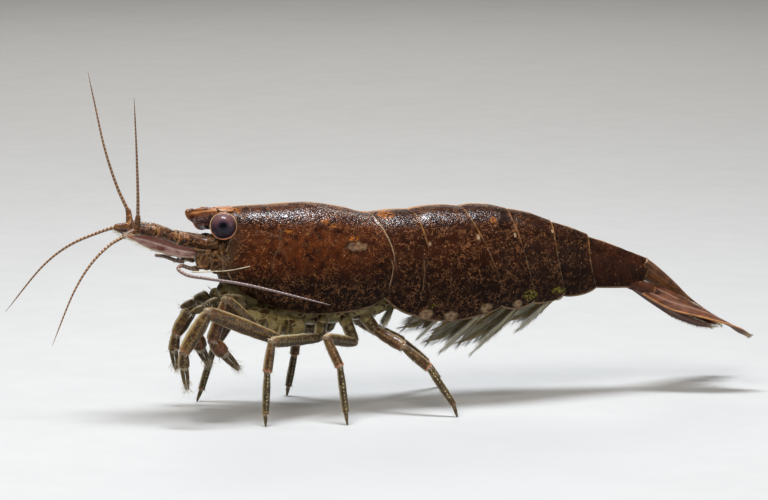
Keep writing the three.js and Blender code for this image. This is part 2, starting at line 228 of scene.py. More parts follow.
def tube(shape, centres, half_width, half_depth, sides, across=ACROSS, **values):
    """A closed tube round a path."""
    centres = np.asarray(centres, float)
    _, wide, deep = carried_frames(centres, across)
    angle = full_circle(sides)
    out = np.reshape(half_width, (-1, 1)) * np.sin(angle)
    rise = np.reshape(half_depth, (-1, 1)) * np.cos(angle)
    rings = centres[:, None] + wide[:, None] * out[..., None] + deep[:, None] * rise[..., None]
    shape.rings(rings, centres[0], centres[-1], along=run_along(centres), turn=np.cos(angle)[None], **values)


# ---------------------------------------- materials
class Finish:
    """A material put together from shader nodes, with its colour painted in layers.  Texture sizes are in
    millimetres, and a texture's detail is how many finer layers it has."""

    def __init__(self, name, **surface):
        self.material = bpy.data.materials.new(name)
        self.material.use_nodes = True
        self.surface = self.material.node_tree.nodes["Principled BSDF"].inputs
        for socket, value in surface.items():
            self.surface[socket.replace("_", " ").title().replace("Ior", "IOR")].default_value = value
        place = self.node("TexCoord", {}, "Object")
        self.place = self.node("VectorMath", {0: place, "Scale": 1 / MM}, operation="SCALE")

    def node(self, kind, inputs, output=0, **settings):
        """Adds a shader node and gives back one of its outputs."""
        node = self.material.node_tree.nodes.new("ShaderNode" + kind)
        for name, value in settings.items():
            setattr(node, name, value)
        for socket, value in inputs.items():
            self.plug(node.inputs[socket], value)
        return node.outputs[output]

    def plug(self, socket, value):
        if isinstance(value, bpy.types.NodeSocket):
            self.material.node_tree.links.new(value, socket)
        elif isinstance(value, tuple) and socket.type == "RGBA":
            socket.default_value = (*value, 1)
        else:
            socket.default_value = value

    def value(self, attribute):
        return self.node("Attribute", {}, "Fac", attribute_name=attribute)

    def stretched(self, *scales):
        return self.node("VectorMath", {0: self.place, 1: scales}, operation="MULTIPLY")

    def shifted(self, *offset, place=None):
        return self.node("VectorMath", {0: place or self.place, 1: offset}, operation="ADD")

    def noise(self, size, detail=2.0, distortion=0.0, roughness=0.5, place=None):
        inputs = {"Vector": place or self.place, "Scale": 1 / size, "Detail": detail,
                  "Distortion": distortion, "Roughness": roughness}
        return self.node("TexNoise", inputs, "Fac")

    def cells(self, size, feature="F1", place=None):
        inputs = {"Vector": place or self.place, "Scale": 1 / size}
        return self.node("TexVoronoi", inputs, "Distance", feature=feature)

    def math(self, operation, *values):
        return self.node("Math", dict(enumerate(values)), operation=operation)

    def times(self, *values):
        return functools.reduce(lambda a, b: self.math("MULTIPLY", a, b), values)

    def plus(self, *values):
        return functools.reduce(lambda a, b: self.math("ADD", a, b), values)

    def span(self, value, low, high, to_low=0.0, to_high=1.0):
        """value from low..high to to_low..to_high, held at both ends, with soft shoulders."""
        inputs = dict(enumerate((value, low, high, to_low, to_high)))
        return self.node("MapRange", inputs, interpolation_type="SMOOTHSTEP")

    def patchy(self, size, low, high, to_low=0.0, to_high=1.0, **texture):
        return self.span(self.noise(size, **texture), low, high, to_low, to_high)

    def mix(self, factor, a, b):
        return self.node("Mix", {0: factor, 6: a, 7: b}, 2, data_type="RGBA")

    def worms(self, size, width, seed=0.0):
        """Short crooked lines, such as pigment makes: 1 on a line and 0 off it."""
        start = self.shifted(seed, seed * 0.7, -seed)
        crooked = self.noise(size, detail=0.8, distortion=0.7, place=start)
        crest = self.span(self.math("ABSOLUTE", self.math("SUBTRACT", crooked, 0.5)), width, width * 0.25)
        apart = self.shifted(5.0, 2.0, 9.0, place=start)
        broken = self.patchy(size * 1.9, 0.44, 0.56, detail=1.0, place=apart)
        return self.times(crest, broken)

    def ground(self, a, b, factor):
        """The first layer of colour: a where factor is 0, and b where it is 1."""
        self.colour = self.mix(factor, a, b)

    def paint(self, colour, *factors):
        """Another layer of colour, as strong as the product of the factors."""
        self.colour = self.mix(self.times(*factors), self.colour, colour)

    def done(self, roughness, relief=None, depth=0.0, strength=0.8, wet=True):
        """The material, its surface raised by up to depth where relief is 1, and its wet coat too."""
        self.plug(self.surface["Base Color"], self.colour)
        self.plug(self.surface["Roughness"], roughness)
        if relief:
            inputs = {"Height": relief, "Distance": depth * MM, "Strength": strength}
            normal = self.node("Bump", inputs, "Normal")
            self.plug(self.surface["Normal"], normal)
            if wet:
                self.plug(self.surface["Coat Normal"], normal)
        return self.material


def shell_material():
    """Red-brown shell with crooked tan pigment lines, darker below, with pale and golden plate edges, and a
    golden line of painted backlight down the middle of the back.
    """
    f = Finish("shell", coat_roughness=0.17, specular_ior_level=0.05)
    red, dark, shine = f.value("red"), f.value("dark"), f.value("shine")
    f.plug(f.surface["Coat Weight"], f.span(shine, 0.05, 1.0, 0.01, 0.9))
    clouds = f.noise(0.9, detail=3)
    f.ground((0.0085, 0.0027, 0.0014), (0.027, 0.0073, 0.0027), f.span(clouds, 0.35, 0.65))
    f.paint((0.06, 0.0138, 0.0031), red, f.patchy(0.35, 0.3, 0.62, detail=3))
    f.paint((0.0055, 0.0022, 0.0011), dark, f.span(clouds, 0.2, 0.6, 0.75, 1.0))

    lines = f.math("MAXIMUM", f.worms(0.14, 0.055), f.worms(0.24, 0.036, seed=3.0))
    gathered = f.patchy(0.7, 0.3, 0.6, 0.45, 1.0, place=f.shifted(7.0, 1.0, 4.0))
    strength = f.times(gathered, f.math("SUBTRACT", 1.0, f.value("plain")), f.span(red, 0.1, 0.9, 1.0, 0.62))
    f.paint(f.mix(dark, (0.15, 0.054, 0.018), (0.13, 0.062, 0.028)), lines, strength, 0.85)
    f.paint((0.40, 0.19, 0.085), f.span(f.cells(0.19), 0.2, 0.07), f.patchy(0.5, 0.48, 0.62), 0.6)

    spotty = f.patchy(0.11, 0.42, 0.6, detail=3)
    f.paint((0.33, 0.10, 0.014), f.value("orange"), spotty)
    f.paint((0.17, 0.145, 0.022), f.value("yellow"), spotty, 0.8)
    f.paint((0.29, 0.19, 0.11), f.value("pale"), f.patchy(0.1, 0.25, 0.55, 0.35, 1.0, detail=3))
    # Golden plate edges, and a painted line of backlight down the middle of the back, where light shining
    # through the shell's top edge shows on the outline.
    f.paint((0.34, 0.155, 0.042), f.value("gold"), f.patchy(0.3, 0.3, 0.55, 0.45, 1.0))

    grains = f.span(f.cells(0.085, feature="SMOOTH_F1"), 0.1, 0.55)
    grains = f.times(grains, f.span(shine, 0.0, 0.8, 0.18, 0.5))
    pits = f.noise(0.13, detail=2.5, roughness=0.6)
    relief = f.plus(f.times(pits, 0.6), grains, f.times(lines, 0.12))
    return f.done(f.patchy(0.12, 0.3, 0.7, 0.3, 0.52, detail=3), relief, 0.032, strength=1.0)


def limb_material(name, dark, light, pale, ring):
    """Clear skin over dark flesh, with pale outlines, dark stripes, and pale beads along the shins."""
    f = Finish(name, coat_weight=0.15, coat_roughness=0.15, specular_ior_level=0.2, subsurface_weight=0.12,
               subsurface_scale=0.2 * MM, subsurface_radius=(1.0, 0.7, 0.35))
    turn = f.math("ABSOLUTE", f.value("turn"))
    blotch = f.noise(0.2, detail=3, distortion=0.6)
    f.ground(dark, light, f.span(blotch, 0.38, 0.6))
    f.paint((0.108, 0.031, 0.0105), f.value("tone"), f.patchy(0.4, 0.25, 0.55, 0.6, 1.0))
    stripe = f.times(f.span(turn, 0.12, 0.32), f.span(turn, 0.75, 0.5))
    f.paint((0.02, 0.0125, 0.006), stripe, f.patchy(0.28, 0.36, 0.56), 0.85)
    bead = f.math("SINE", f.plus(f.times(f.value("along"), 2 * math.pi / 0.17), f.times(blotch, 3.0)))
    beads = f.times(f.span(turn, 0.25, 0.05), f.span(bead, 0.1, 0.9), f.span(blotch, 0.4, 0.5))
    f.paint((0.42, 0.37, 0.22), beads, f.value("beads"), 0.8)
    f.paint(pale, f.span(f.cells(0.07), 0.33, 0.16), 0.5, f.patchy(0.3, 0.4, 0.6))
    f.paint(pale, f.span(turn, 0.76, 0.98), f.patchy(0.15, 0.2, 0.5, 0.45, 1.0), 0.8)
    f.paint(ring, f.value("ring"))
    f.paint((0.40, 0.35, 0.25), f.value("tip"), f.span(blotch, 0.3, 0.6, 0.6, 1.0))
    relief = f.plus(f.times(f.noise(0.06), 0.7), f.times(blotch, 0.6))
    return f.done(f.span(blotch, 0.3, 0.7, 0.26, 0.46), relief, 0.013)


def flesh_material():
    """Olive clear flesh with dark brown patches below, browner and veined with tan on the head."""
    f = Finish("flesh", coat_weight=0.08, coat_roughness=0.2, specular_ior_level=0.12, subsurface_weight=0.15,
               subsurface_scale=0.3 * MM, subsurface_radius=(1.0, 0.75, 0.4))
    on_head, below = f.value("brown"), f.value("patches")
    mottle = f.noise(0.45, detail=3, distortion=0.5)
    f.ground((0.1, 0.072, 0.025), (0.225, 0.175, 0.07), f.span(mottle, 0.3, 0.7))
    boxes = f.cells(0.36, feature="DISTANCE_TO_EDGE", place=f.stretched(0.6, 1, 1.25))
    picked = f.patchy(0.5, 0.49, 0.54, detail=1, place=f.shifted(3.0, 8.0, 1.0))
    dark = f.times(f.span(boxes, 0.04, 0.12), picked)
    f.paint((0.042, 0.018, 0.008), dark, below, f.patchy(0.1, 0.2, 0.5, 0.6, 0.95))
    f.paint((0.30, 0.24, 0.13), f.span(boxes, 0.05, 0.015), 0.45, below)
    brown = f.mix(f.patchy(0.22, 0.38, 0.62, detail=3, distortion=0.8), (0.013, 0.0055, 0.0025),
                  (0.06, 0.026, 0.009))
    f.paint(brown, on_head)
    veins = f.math("MAXIMUM", f.worms(0.3, 0.06, seed=2.0), f.worms(0.17, 0.06, seed=4.0))
    f.paint((0.20, 0.098, 0.036), veins, on_head, 0.6)
    f.paint((0.27, 0.155, 0.075), f.value("pale"), 0.6)
    relief = f.plus(f.times(f.noise(0.1), 0.6), f.times(dark, -0.3))
    return f.done(f.span(mottle, 0.3, 0.7, 0.27, 0.5), relief, 0.012)


def eye_material():
    """Violet-black cornea, brown on top, over fine facets, with the dark spot that looks outward."""
    f = Finish("eye", coat_weight=0.25, coat_roughness=0.1, specular_ior_level=0.1)
    outward = f.value("outward")
    f.ground((0.011, 0.006, 0.013), (0.095, 0.042, 0.038), f.span(f.value("up"), -0.35, 0.8))
    f.paint((0.045, 0.022, 0.04), f.patchy(0.25, 0.4, 0.65), 0.4)
    f.paint((0.012, 0.009, 0.02), f.span(outward, 0.83, 0.95), 0.8)
    f.paint((0.0008, 0.0006, 0.001), f.span(outward, 0.945, 0.972))
    facets = f.cells(0.032)
    return f.done(f.span(facets, 0.0, 0.6, 0.2, 0.34), facets, 0.003, strength=0.5, wet=False)


def rim_material():
    """Tan skin round the eye, pink-orange below, on a dark speckled stalk."""
    f = Finish("eyestalk", coat_weight=0.1, coat_roughness=0.25, specular_ior_level=0.15)
    f.ground((0.25, 0.115, 0.05), (0.46, 0.27, 0.13), f.patchy(0.2, 0.35, 0.6, detail=3))
    f.paint((0.62, 0.23, 0.12), f.value("low"))
    speckled = f.mix(f.patchy(0.08, 0.45, 0.6), (0.014, 0.006, 0.009), (0.075, 0.045, 0.045))
    f.paint(speckled, f.value("stalk"))
    return f.done(f.patchy(0.1, 0.3, 0.7, 0.3, 0.5), f.noise(0.07), 0.01, strength=0.6)


def rostrum_material():
    """Orange-brown, with a dark red hollow in the tip and grey clear skin below."""
    f = Finish("rostrum", coat_weight=0.08, coat_roughness=0.3, specular_ior_level=0.15)
    streaks = f.noise(0.16, detail=3, distortion=0.4, place=f.stretched(0.35, 1, 1))
    flecks = f.patchy(0.07, 0.5, 0.62, place=f.stretched(0.6, 1, 1))
    f.ground((0.035, 0.01, 0.0045), (0.20, 0.058, 0.009), f.span(streaks, 0.38, 0.58))
    f.paint((0.34, 0.16, 0.06), flecks, 0.45)
    f.paint((0.17, 0.065, 0.04), f.value("pink"), f.span(streaks, 0.6, 0.4, 0.35, 0.9))
    f.paint(f.mix(flecks, (0.065, 0.034, 0.034), (0.24, 0.165, 0.15)), f.value("clear"), 0.9)
    f.paint((0.028, 0.004, 0.003), f.value("hollow"))
    f.paint((0.34, 0.155, 0.06), f.value("pale"))
    return f.done(f.span(streaks, 0.3, 0.7, 0.3, 0.5), f.noise(0.08, detail=3), 0.014)


def stem_material():
    """Mottled orange-brown stems of the first feelers."""
    f = Finish("feeler_stem", coat_weight=0.15, coat_roughness=0.2, specular_ior_level=0.2,
               subsurface_weight=0.1, subsurface_scale=0.2 * MM)
    mottle = f.noise(0.24, detail=3, distortion=1.2)
    lines = f.worms(0.24, 0.055, seed=6.0)
    f.ground((0.02, 0.0075, 0.004), (0.095, 0.034, 0.011), f.span(mottle, 0.4, 0.6))
    f.paint((0.32, 0.145, 0.05), lines, 0.7)
    f.paint((0.32, 0.15, 0.055), f.value("ring"), f.patchy(0.12, 0.35, 0.6))
    return f.done(f.span(mottle, 0.3, 0.7, 0.28, 0.48), f.plus(mottle, f.times(lines, 0.4)), 0.018)


def lash_material():
    """Feelers ringed tan and dark.  The long ones, which the photo blurs, are fainter."""
    f = Finish("feeler_lash", coat_weight=0.2, coat_roughness=0.25)
    wave = f.math("SINE", f.times(f.value("along"), 2 * math.pi / LASH_JOINT))
    wave = f.plus(wave, f.times(f.noise(0.3, detail=3), 1.2))
    f.ground((0.085, 0.036, 0.017), (0.27, 0.15, 0.068), f.span(wave, 0.0, 1.4))
    f.paint((0.13, 0.088, 0.08), f.value("faint"))
    return f.done(f.span(wave, -1, 1, 0.5, 0.34), wave, 0.008, strength=0.6)


def blade_material(name, dark, light, edge, streak, tip, painted_shade=0.0, clear=0.0):
    """A thin fin with streaks along it, a coloured outer edge and a paler end.  painted_shade is how much
    painted shade darkens the inner half, and clear is how much more light comes through."""
    f = Finish(name, coat_weight=0.1, coat_roughness=0.18, specular_ior_level=0.12,
               subsurface_weight=0.1 + clear, subsurface_scale=0.2 * MM, subsurface_radius=(1.0, 0.8, 0.5))
    lane = f.value("lane")
    wander = f.noise(0.66)
    wave = f.math("SINE", f.times(f.plus(f.times(lane, 14.0), f.times(wander, 3.2)), 2.6))
    streaks = f.times(f.span(wave, 0.3, 1.0), f.span(wander, 0.35, 0.6))
    cloud = f.noise(0.22, detail=3, distortion=0.3, place=f.stretched(0.45, 1, 0.45))
    f.ground(dark, light, f.span(cloud, 0.33, 0.64))
    f.paint(streak, streaks, 0.45)
    f.paint(streak, f.value("ridge"), 0.7)
    # Painted shade: the inner half of the fin is darkened as if it lay in shadow.
    f.paint(dark, f.span(lane, 0.25, -0.3), painted_shade)
    f.paint(dark, f.value("stem"), 0.7)
    f.paint(edge, f.value("edge"), f.span(cloud, 0.3, 0.55, 0.6, 1.0))
    f.paint(tip, f.value("tip"))
    relief = f.plus(f.times(streaks, 0.35), f.times(cloud, 0.6))
    return f.done(f.span(cloud, 0.3, 0.7, 0.28, 0.48), relief, 0.01)


def hair_material(name, colour, tip):
    """Fine hairs, paler towards their tips."""
    f = Finish(name)
    f.ground(colour, tip, f.patchy(0.5, 0.35, 0.65))
    f.paint(tip, f.value("tipward"))
    return f.done(f.patchy(0.3, 0.3, 0.7, 0.35, 0.5))


def paper_material():
    """The plain pale floor."""
    f = Finish("floor_paper")
    f.ground((0.325, 0.32, 0.31), (0.35, 0.345, 0.335), f.noise(6.0, detail=3))
    return f.done(f.patchy(2.0, 0.3, 0.7, 0.75, 0.85))


# ---------------------------------------- hairs
SHORT_BRISTLE, LONG_BRISTLE, STEM_HAIR = 0.0075, 0.008, 0.007  # radii at the root
FRINGE_HAIR, FINE_FRINGE_HAIR = 0.0065, 0.006
# The first cell of the bake's map that a carrier's hairs take.  The right one of a pair takes the next.
STEM_CELL, SCALE_CELL, MAXILLIPED_CELL = 12, 14, 18
TELSON_CELL, OUTER_BLADE_CELL, INNER_BLADE_CELL = 20, 21, 23


class Hairs:
    """Many thin three-sided hairs in one mesh.  Each has a root, a direction, a length and a place on its
    carrier's unwrap, where its own patch of the bake's map lies."""

    PATCH = 0.003
    CARRIERS = 6  # to a row of the map

    def __init__(self, seed):
        self.rng = np.random.default_rng(seed)
        self.rows = []

    def add(self, roots, directions, lengths, radius, spots):
        self.rows.append((roots, unit(directions), lengths, np.full(len(roots), radius), spots))

    def scattered(self, directions, amount):
        return unit(unit(directions) + self.rng.normal(0, amount, directions.shape))

    def mesh(self, name):
        roots, ways, lengths, radii, spots = (np.concatenate(column) for column in zip(*self.rows))
        count = len(roots)
        side = unit(np.cross(ways, self.rng.normal(size=(count, 3))))
        turn = full_circle(3)[:, None]
        around = side[:, None] * np.cos(turn) + np.cross(ways, side)[:, None] * np.sin(turn)
        levels = []
        for part, thick in ((0.0, 1.0), (0.5, 0.75)):
            centres = roots + ways * (lengths * part)[:, None]
            levels.append(centres[:, None] + around * (radii * thick)[:, None, None])
        levels.append((roots + ways * lengths[:, None])[:, None])
        points = np.concatenate(levels, axis=1)
        points[..., 2] = np.maximum(points[..., 2], 0)
        pattern = [(0, 2, 1)]
        for a, b in ((0, 1), (1, 2), (2, 0)):
            pattern += [(a, b, b + 3), (a, b + 3, a + 3), (a + 3, b + 3, 6)]
        faces = (np.array(pattern)[None] + 7 * np.arange(count)[:, None, None]).reshape(-1, 3)
        mesh = bpy.data.meshes.new(name)
        mesh.from_pydata((points.reshape(-1, 3) * MM).tolist(), [], faces.tolist())
        tipward = np.tile([0, 0, 0, 0.5, 0.5, 0.5, 1.0], count).astype(np.float32)
        mesh.attributes.new("tipward", "FLOAT", "POINT").data.foreach_set("value", tipward)
        patch = np.array([(0, 0), (0.5, 0.2), (1, 0), (0, 0.6), (0.5, 0.7), (1, 0.6), (0.5, 1)]) * self.PATCH
        places = (spots[:, None] + patch[None]).reshape(-1, 2)
        layer = mesh.uv_layers.new(name="OFBake")
        layer.data.foreach_set("uv", places[faces.ravel()].astype(np.float32).ravel())
        mesh.shade_smooth()
        return mesh


def spots_in(cell, along, around):
    """Places on the bake's map, for hairs on the carrier number cell, at fractions along and around it."""
    row, column = divmod(cell, Hairs.CARRIERS)
    size = 1 / Hairs.CARRIERS
    inner = size - 2 * Hairs.PATCH
    corner = np.array([column * size + Hairs.PATCH, row * size + Hairs.PATCH])
    return corner + inner * np.stack(np.broadcast_arrays(along, around), axis=-1)


def fraction_round(angle):
    return (angle % (2 * math.pi)) / (2 * math.pi)


# ---------------------------------------- shell plates
BACK = hermite([(-8.4, 9.95), (-6.1, 10.0), (-3.7, 10.0), (-2.2, 9.7), (-0.9, 9.38), (1.2, 9.44),
                (3.7, 9.46), (5.9, 9.26), (8.2, 8.56), (10.1, 7.82), (13.4, 6.45)])
HALF_WIDTH = hermite([(-8.4, 1.3), (-6.5, 1.85), (-4.5, 2.1), (-2.0, 2.1), (0, 1.95), (3.7, 1.95),
                      (5.9, 1.72), (8.2, 1.38), (10.1, 1.02), (13.4, 0.62)])
HEM_ANGLE = 5 / 6 * math.pi
ORBIT_ANGLE = math.pi / 4
ORBIT_SPREAD = 0.36
VISIBLE_HEM = 0.93  # how far down the solid's outline the thin edge of the shell hangs
SHELL = 0.06  # thickness of a plate's edge
LIP = ((0.02, 0.016), (0.045, 0.016), (SHELL, 0.0))  # how far in and down the hem's rounded edge goes
COLUMNS = 92  # from the back to the hem
ROW_STEP, FEWEST_ROWS = 0.05, 44  # from the front to the rear
VAULT_STEPS = 9


def seam(top, hem, bow, low):
    return {"top": top, "low": low, "x": lambda down: lerp(top, hem, down) + bow * 4 * down * (1 - down)}


SEAMS = [  # the first is the face, which comes a little further forward over the cheek than its solid
    {"top": -8.35, "low": 5.75, "x": lambda down: -8.38 + 0.08 * down + 1.9 * down**7},
    seam(-0.9, -0.5, 0.5, 5.6),
    seam(1.2, 1.15, 0.4, 4.6),
    seam(3.67, 5.42, 0.1, 4.9),
    seam(5.94, 7.03, -0.05, 4.95),
    seam(8.2, 8.65, -0.2, 5.15),
    seam(10.13, 10.38, -0.22, 5.3),
    seam(13.38, 12.75, 0.12, 5.15),
]
# arch: how far the back bulges.  drop: how far the hem hangs.  vault: how high the hollow below is.
# overlap: how far the rear edge runs over the next plate.  shine and plain: how wet the plate looks, and how
# little it is marked.
PLATE_FIELDS = ("name", "arch", "drop", "vault", "overlap", "shine", "plain")
PLATES = [dict(zip(PLATE_FIELDS, row)) for row in (
    ("carapace", 0, 0.88, 0.75, 0.1, 1, 0),
    ("abdomen_plate_1", 0.08, 0.4, 0.95, 0.14, 1, 0),
    ("abdomen_plate_2", 0.13, 0.62, 0.95, 0.16, 1, 0),
    ("abdomen_plate_3", 0.14, 0.4, 0.75, 0.16, 1, 0.12),
    ("abdomen_plate_4", 0.12, 0.36, 0.6, 0.14, 0.6, 0.2),
    ("abdomen_plate_5", 0.08, 0.3, 0.45, 0.12, 0.4, 0.4),
    ("abdomen_plate_6", 0.06, 0.04, 0.12, 0, 0.4, 0.75),
)]
ORBIT = 0.56  # how deep the eye's notch in the carapace is
TUCK = 0.2  # how far the front of an abdomen plate runs under the plate before it
# The plates whose pale front edge shows low on the sides: how pale, how wide and from how far down.
OPEN_FRONTS = {1: (1.1, 0.035, 0.45), 2: (0.6, 0.03, 0.4)}

# Marks on the flanks: x, z, radius along x, radius along z.
PALE_PATCHES = [(-1.95, 8.06, 0.55, 0.2), (1.53, 4.6, 0.34, 0.28), (2.8, 4.42, 0.34, 0.27),
                (4.55, 4.75, 0.32, 0.26), (6.2, 4.85, 0.25, 0.2)]
PATCH_RIMS = [(x, z, 1.3 * along, 1.3 * high) for x, z, along, high in PALE_PATCHES]
HINGES = [(1.75, 7.96, 0.07, 0.09), (4.2, 8.17, 0.08, 0.1), (6.12, 8.15, 0.08, 0.1), (8.2, 8.15, 0.06, 0.08)]
YELLOW_PATCHES = [(6.82, 5.25, 0.42, 0.28), (8.4, 5.35, 0.4, 0.2), (1.9, 5.0, 0.15, 0.1)]
ORANGE_SPOTS = [(-7.5, 9.83, 0.24, 0.15), (-3.35, 9.28, 0.24, 0.14), (-2.95, 9.04, 0.2, 0.1),
                (-0.1, 9.3, 0.4, 0.18), (-2.1, 8.42, 0.3, 0.1), (-5.2, 8.9, 0.2, 0.1), (5.1, 8.9, 0.2, 0.14)]
# The groove that branches over the liver region, and the one low along the carapace, as x, z places.
GROOVE = [[(-5.55, 8.95), (-5.62, 8.6), (-5.72, 8.2), (-5.98, 7.8), (-6.12, 7.1)],
          [(-5.72, 8.25), (-5.5, 7.95), (-5.38, 7.6)], [(-6.7, 8.95), (-6.2, 8.88), (-5.6, 8.6)]]
LOW_GROOVE = [[(-7.4, 6.55), (-5, 6.2), (-2.6, 6.35), (-1, 7.0)]]


def patches(points, marks):
    """1 inside the marks and 0 outside, with soft uneven edges."""
    wobble = 0.12 * ripple(points, 0.35, 5)
    total = np.zeros(points.shape[:-1])
    for x, z, along, high in marks:
        reach = np.hypot((points[..., 0] - x) / along, (points[..., 2] - z) / high) + wobble
        total = np.maximum(total, smoothstep(1.15, 0.7, reach))
    return total


def line_distance(points, lines):
    """How far each point is from a set of broken lines, seen from the side."""
    nearest = np.full(points.shape[:-1], np.inf)
    flat = points[..., [0, 2]]
    for bends in map(np.array, lines):
        for start, end in zip(bends, bends[1:]):
            reach = end - start
            t = np.clip((flat - start) @ reach / (reach @ reach), 0, 1)
            nearest = np.minimum(nearest, np.linalg.norm(flat - start - t[..., None] * reach, axis=-1))
    return nearest


def both_sides(half, flip=1):
    """A grid over the right side, from the back to under the belly, carried on round the left side."""
    return np.concatenate([half[:, ::-1] * flip, half[:, 1:-1]], axis=1)


class PlateGrid:
    """A plate's points in rings round the body, and where on the plate each point lies."""

    def __init__(self, index):
        self.index = index
        self.plate, self.front, self.rear = PLATES[index], SEAMS[index], SEAMS[index + 1]
        rows = max(FEWEST_ROWS, int((self.rear["top"] - self.front["top"]) / ROW_STEP))
        t = (np.linspace(0, 1, COLUMNS) * VISIBLE_HEM)[None, :]
        outer = self.outer_face(ends_crowded(rows)[:, None], t)
        half = np.concatenate([outer, *self.underside(outer[:, -1:])], axis=1)
        under = np.ones((rows, half.shape[1] - COLUMNS))
        self.down = both_sides(np.concatenate([np.broadcast_to(t, (rows, COLUMNS)), under], axis=1))
        self.belly = both_sides(np.concatenate([np.zeros((rows, COLUMNS)), under], axis=1))
        self.ring = both_sides(half, np.array([1, -1, 1]))

        step = np.linalg.norm(np.diff(self.ring, axis=0), axis=-1)
        self.from_front = np.vstack([np.zeros(self.ring.shape[1]), np.cumsum(step, axis=0)])
        self.from_rear = self.from_front[-1] - self.from_front
        step = np.linalg.norm(np.diff(half, axis=1), axis=-1)
        to_end = np.concatenate([np.cumsum(step[:, ::-1], axis=1)[:, ::-1], np.zeros((rows, 1))], axis=1)
        self.to_hem = both_sides(to_end - to_end[:, COLUMNS - 1 : COLUMNS])

    def outer_face(self, u, t):
        """Points of one side: u runs from the front to the rear, and t from the back to the lower edge."""
        plate, front, rear = self.plate, self.front, self.rear
        angle = HEM_ANGLE * t
        down = (1 - np.cos(math.pi * t)) / 2
        if self.index == 0:
            fore = front["x"](down) + ORBIT * bell(angle - ORBIT_ANGLE, ORBIT_SPREAD)
        else:
            shallow = 0.3 if self.index == 1 else 1.0  # the first plate's sides lie open in front
            fore = front["x"](down) - TUCK * lerp(1.0, shallow, smoothstep(0.45, 0.6, down))
        x = lerp(fore, rear["x"](down) + plate["overlap"], u)
        top_x = lerp(front["top"], rear["top"], u)
        top = BACK(top_x) + plate["arch"] * np.sin(math.pi * u)
        hang = np.sqrt(np.clip(np.sin(math.pi * u), 0, 1))
        low = lerp(front["low"], rear["low"], u) - plate["drop"] * hang
        y = HALF_WIDTH(top_x) * np.abs(np.sin(angle)) ** (1 - angle / (2 * math.pi))
        return np.stack(np.broadcast_arrays(x, y, lerp(top, low, down)), axis=-1)

    def underside(self, hem):
        """The hem's rounded edge, and the hollow that closes the plate below."""
        bend = np.linspace(0, math.pi / 2, VAULT_STEPS + 1)[None, 1:]
        x, y, z = hem[..., 0], hem[..., 1], hem[..., 2]
        vault = np.stack(np.broadcast_arrays(
            x, (y - SHELL) * np.cos(bend), z + self.plate["vault"] * np.sin(bend)), axis=-1)
        return [*(hem - np.array([0, inward, lower]) for inward, lower in LIP), vault]

    def relief(self):
        """How far the outer face rises: unevenness, rimmed edges, and the grooves."""
        ring, down, from_front, from_rear = self.ring, self.down, self.from_front, self.from_rear
        rise = 0.012 * ripple(ring, 1.1, 11 + self.index) + 0.006 * ripple(ring, 0.4, 21 + self.index)
        rise = rise + 0.012 * line(from_rear, 0.04, 0.035) - 0.014 * line(from_rear, 0.14, 0.05)
        rise = rise + 0.016 * line(self.to_hem, 0.05, 0.05) - 0.022 * line(self.to_hem, 0.2, 0.08)
        side = smoothstep(0.45, 0.6, down)
        if self.index == 0:
            rise = rise + 0.014 * smoothstep(0.4, 0.1, from_rear) * lerp(1.0, -5.0, side)
            rise = rise + 0.01 * line(from_front, 0.04, 0.035) - 0.014 * line(from_front, 0.13, 0.05)
            rise = rise - 0.02 * bell(line_distance(ring, GROOVE), 0.08)
            return rise - 0.02 * bell(line_distance(ring, LOW_GROOVE), 0.14)
        flank = smoothstep(0.3, 0.5, down)
        # Each front edge dips under the plate before it, but the second plate's sides lie over both others.
        dip = 0.05 * lerp(1.0, -0.5, flank) if self.index == 2 else 0.05
        rise = rise - dip * smoothstep(0.34, 0.14, from_front) + 0.014 * smoothstep(0.35, 0.1, from_rear)
        if self.index == 1:
            rise = rise - 0.06 * flank * smoothstep(0.4, 0.2, from_rear)
            rise = rise + 0.13 * side * smoothstep(0.4, 0.14, from_front)
        return rise

    def marks(self):
        """The strengths of the shell's colours and its shine, before the belly is left out."""
        index, ring, down = self.index, self.ring, self.down
        from_front, from_rear = self.from_front, self.from_rear
        x, y, z = ring[..., 0], ring[..., 1], ring[..., 2]
        broken = 0.82 + 0.25 * ripple(ring, 0.45, 9)
        # Painted backlight: a gold stripe down the middle of the back, standing in for light shining through
        # the top edge of the shell.
        stripe = bell(y + 0.03 * ripple(ring, 0.8, 10), 0.11) * smoothstep(5.0, 7.0, z)
        shine = smoothstep(0.31, 0.16, down) * lerp(0.06, 1.0, smoothstep(0.5, 0.95, np.abs(y)))
        if index == 0:
            red = bell(x + 4.2, 3.1) * bell(z - 8.15, 1.25)
            dark = smoothstep(7.4, 6.3, z + 0.25 * ripple(ring, 1.2, 3)) * 0.85
            gold = stripe * 0.95
            pale = np.maximum.reduce([
                0.95 * line(from_rear, 0.03, 0.03),
                0.14 * bell(line_distance(ring, GROOVE), 0.04) * broken,
                0.9 * line(from_front, 0.03, 0.035) * smoothstep(9.0, 8.6, z),
                0.16 * bell(from_front, 0.5) * bell(z - 7.9, 1.1),
            ])
        else:
            arched = np.sin(math.pi * np.linspace(0, 1, len(ring)))[:, None]
            shine = shine * lerp(0.3, 1.0, arched) * self.plate["shine"]
            red = 0.4 * bell(z - 7.8, 1.6) * smoothstep(8.5, 1.0, x)
            dark = lerp(0.42, 0.85, smoothstep(7.9, 5.4, z + 0.2 * ripple(ring, 1.0, 4)))
            dark = np.maximum(dark, 0.7 * smoothstep(6.5, 9.0, x)) * (1 - 0.75 * smoothstep(9.5, 10.8, x))
            rear_line = line(from_rear, 0.03, 0.028) * broken
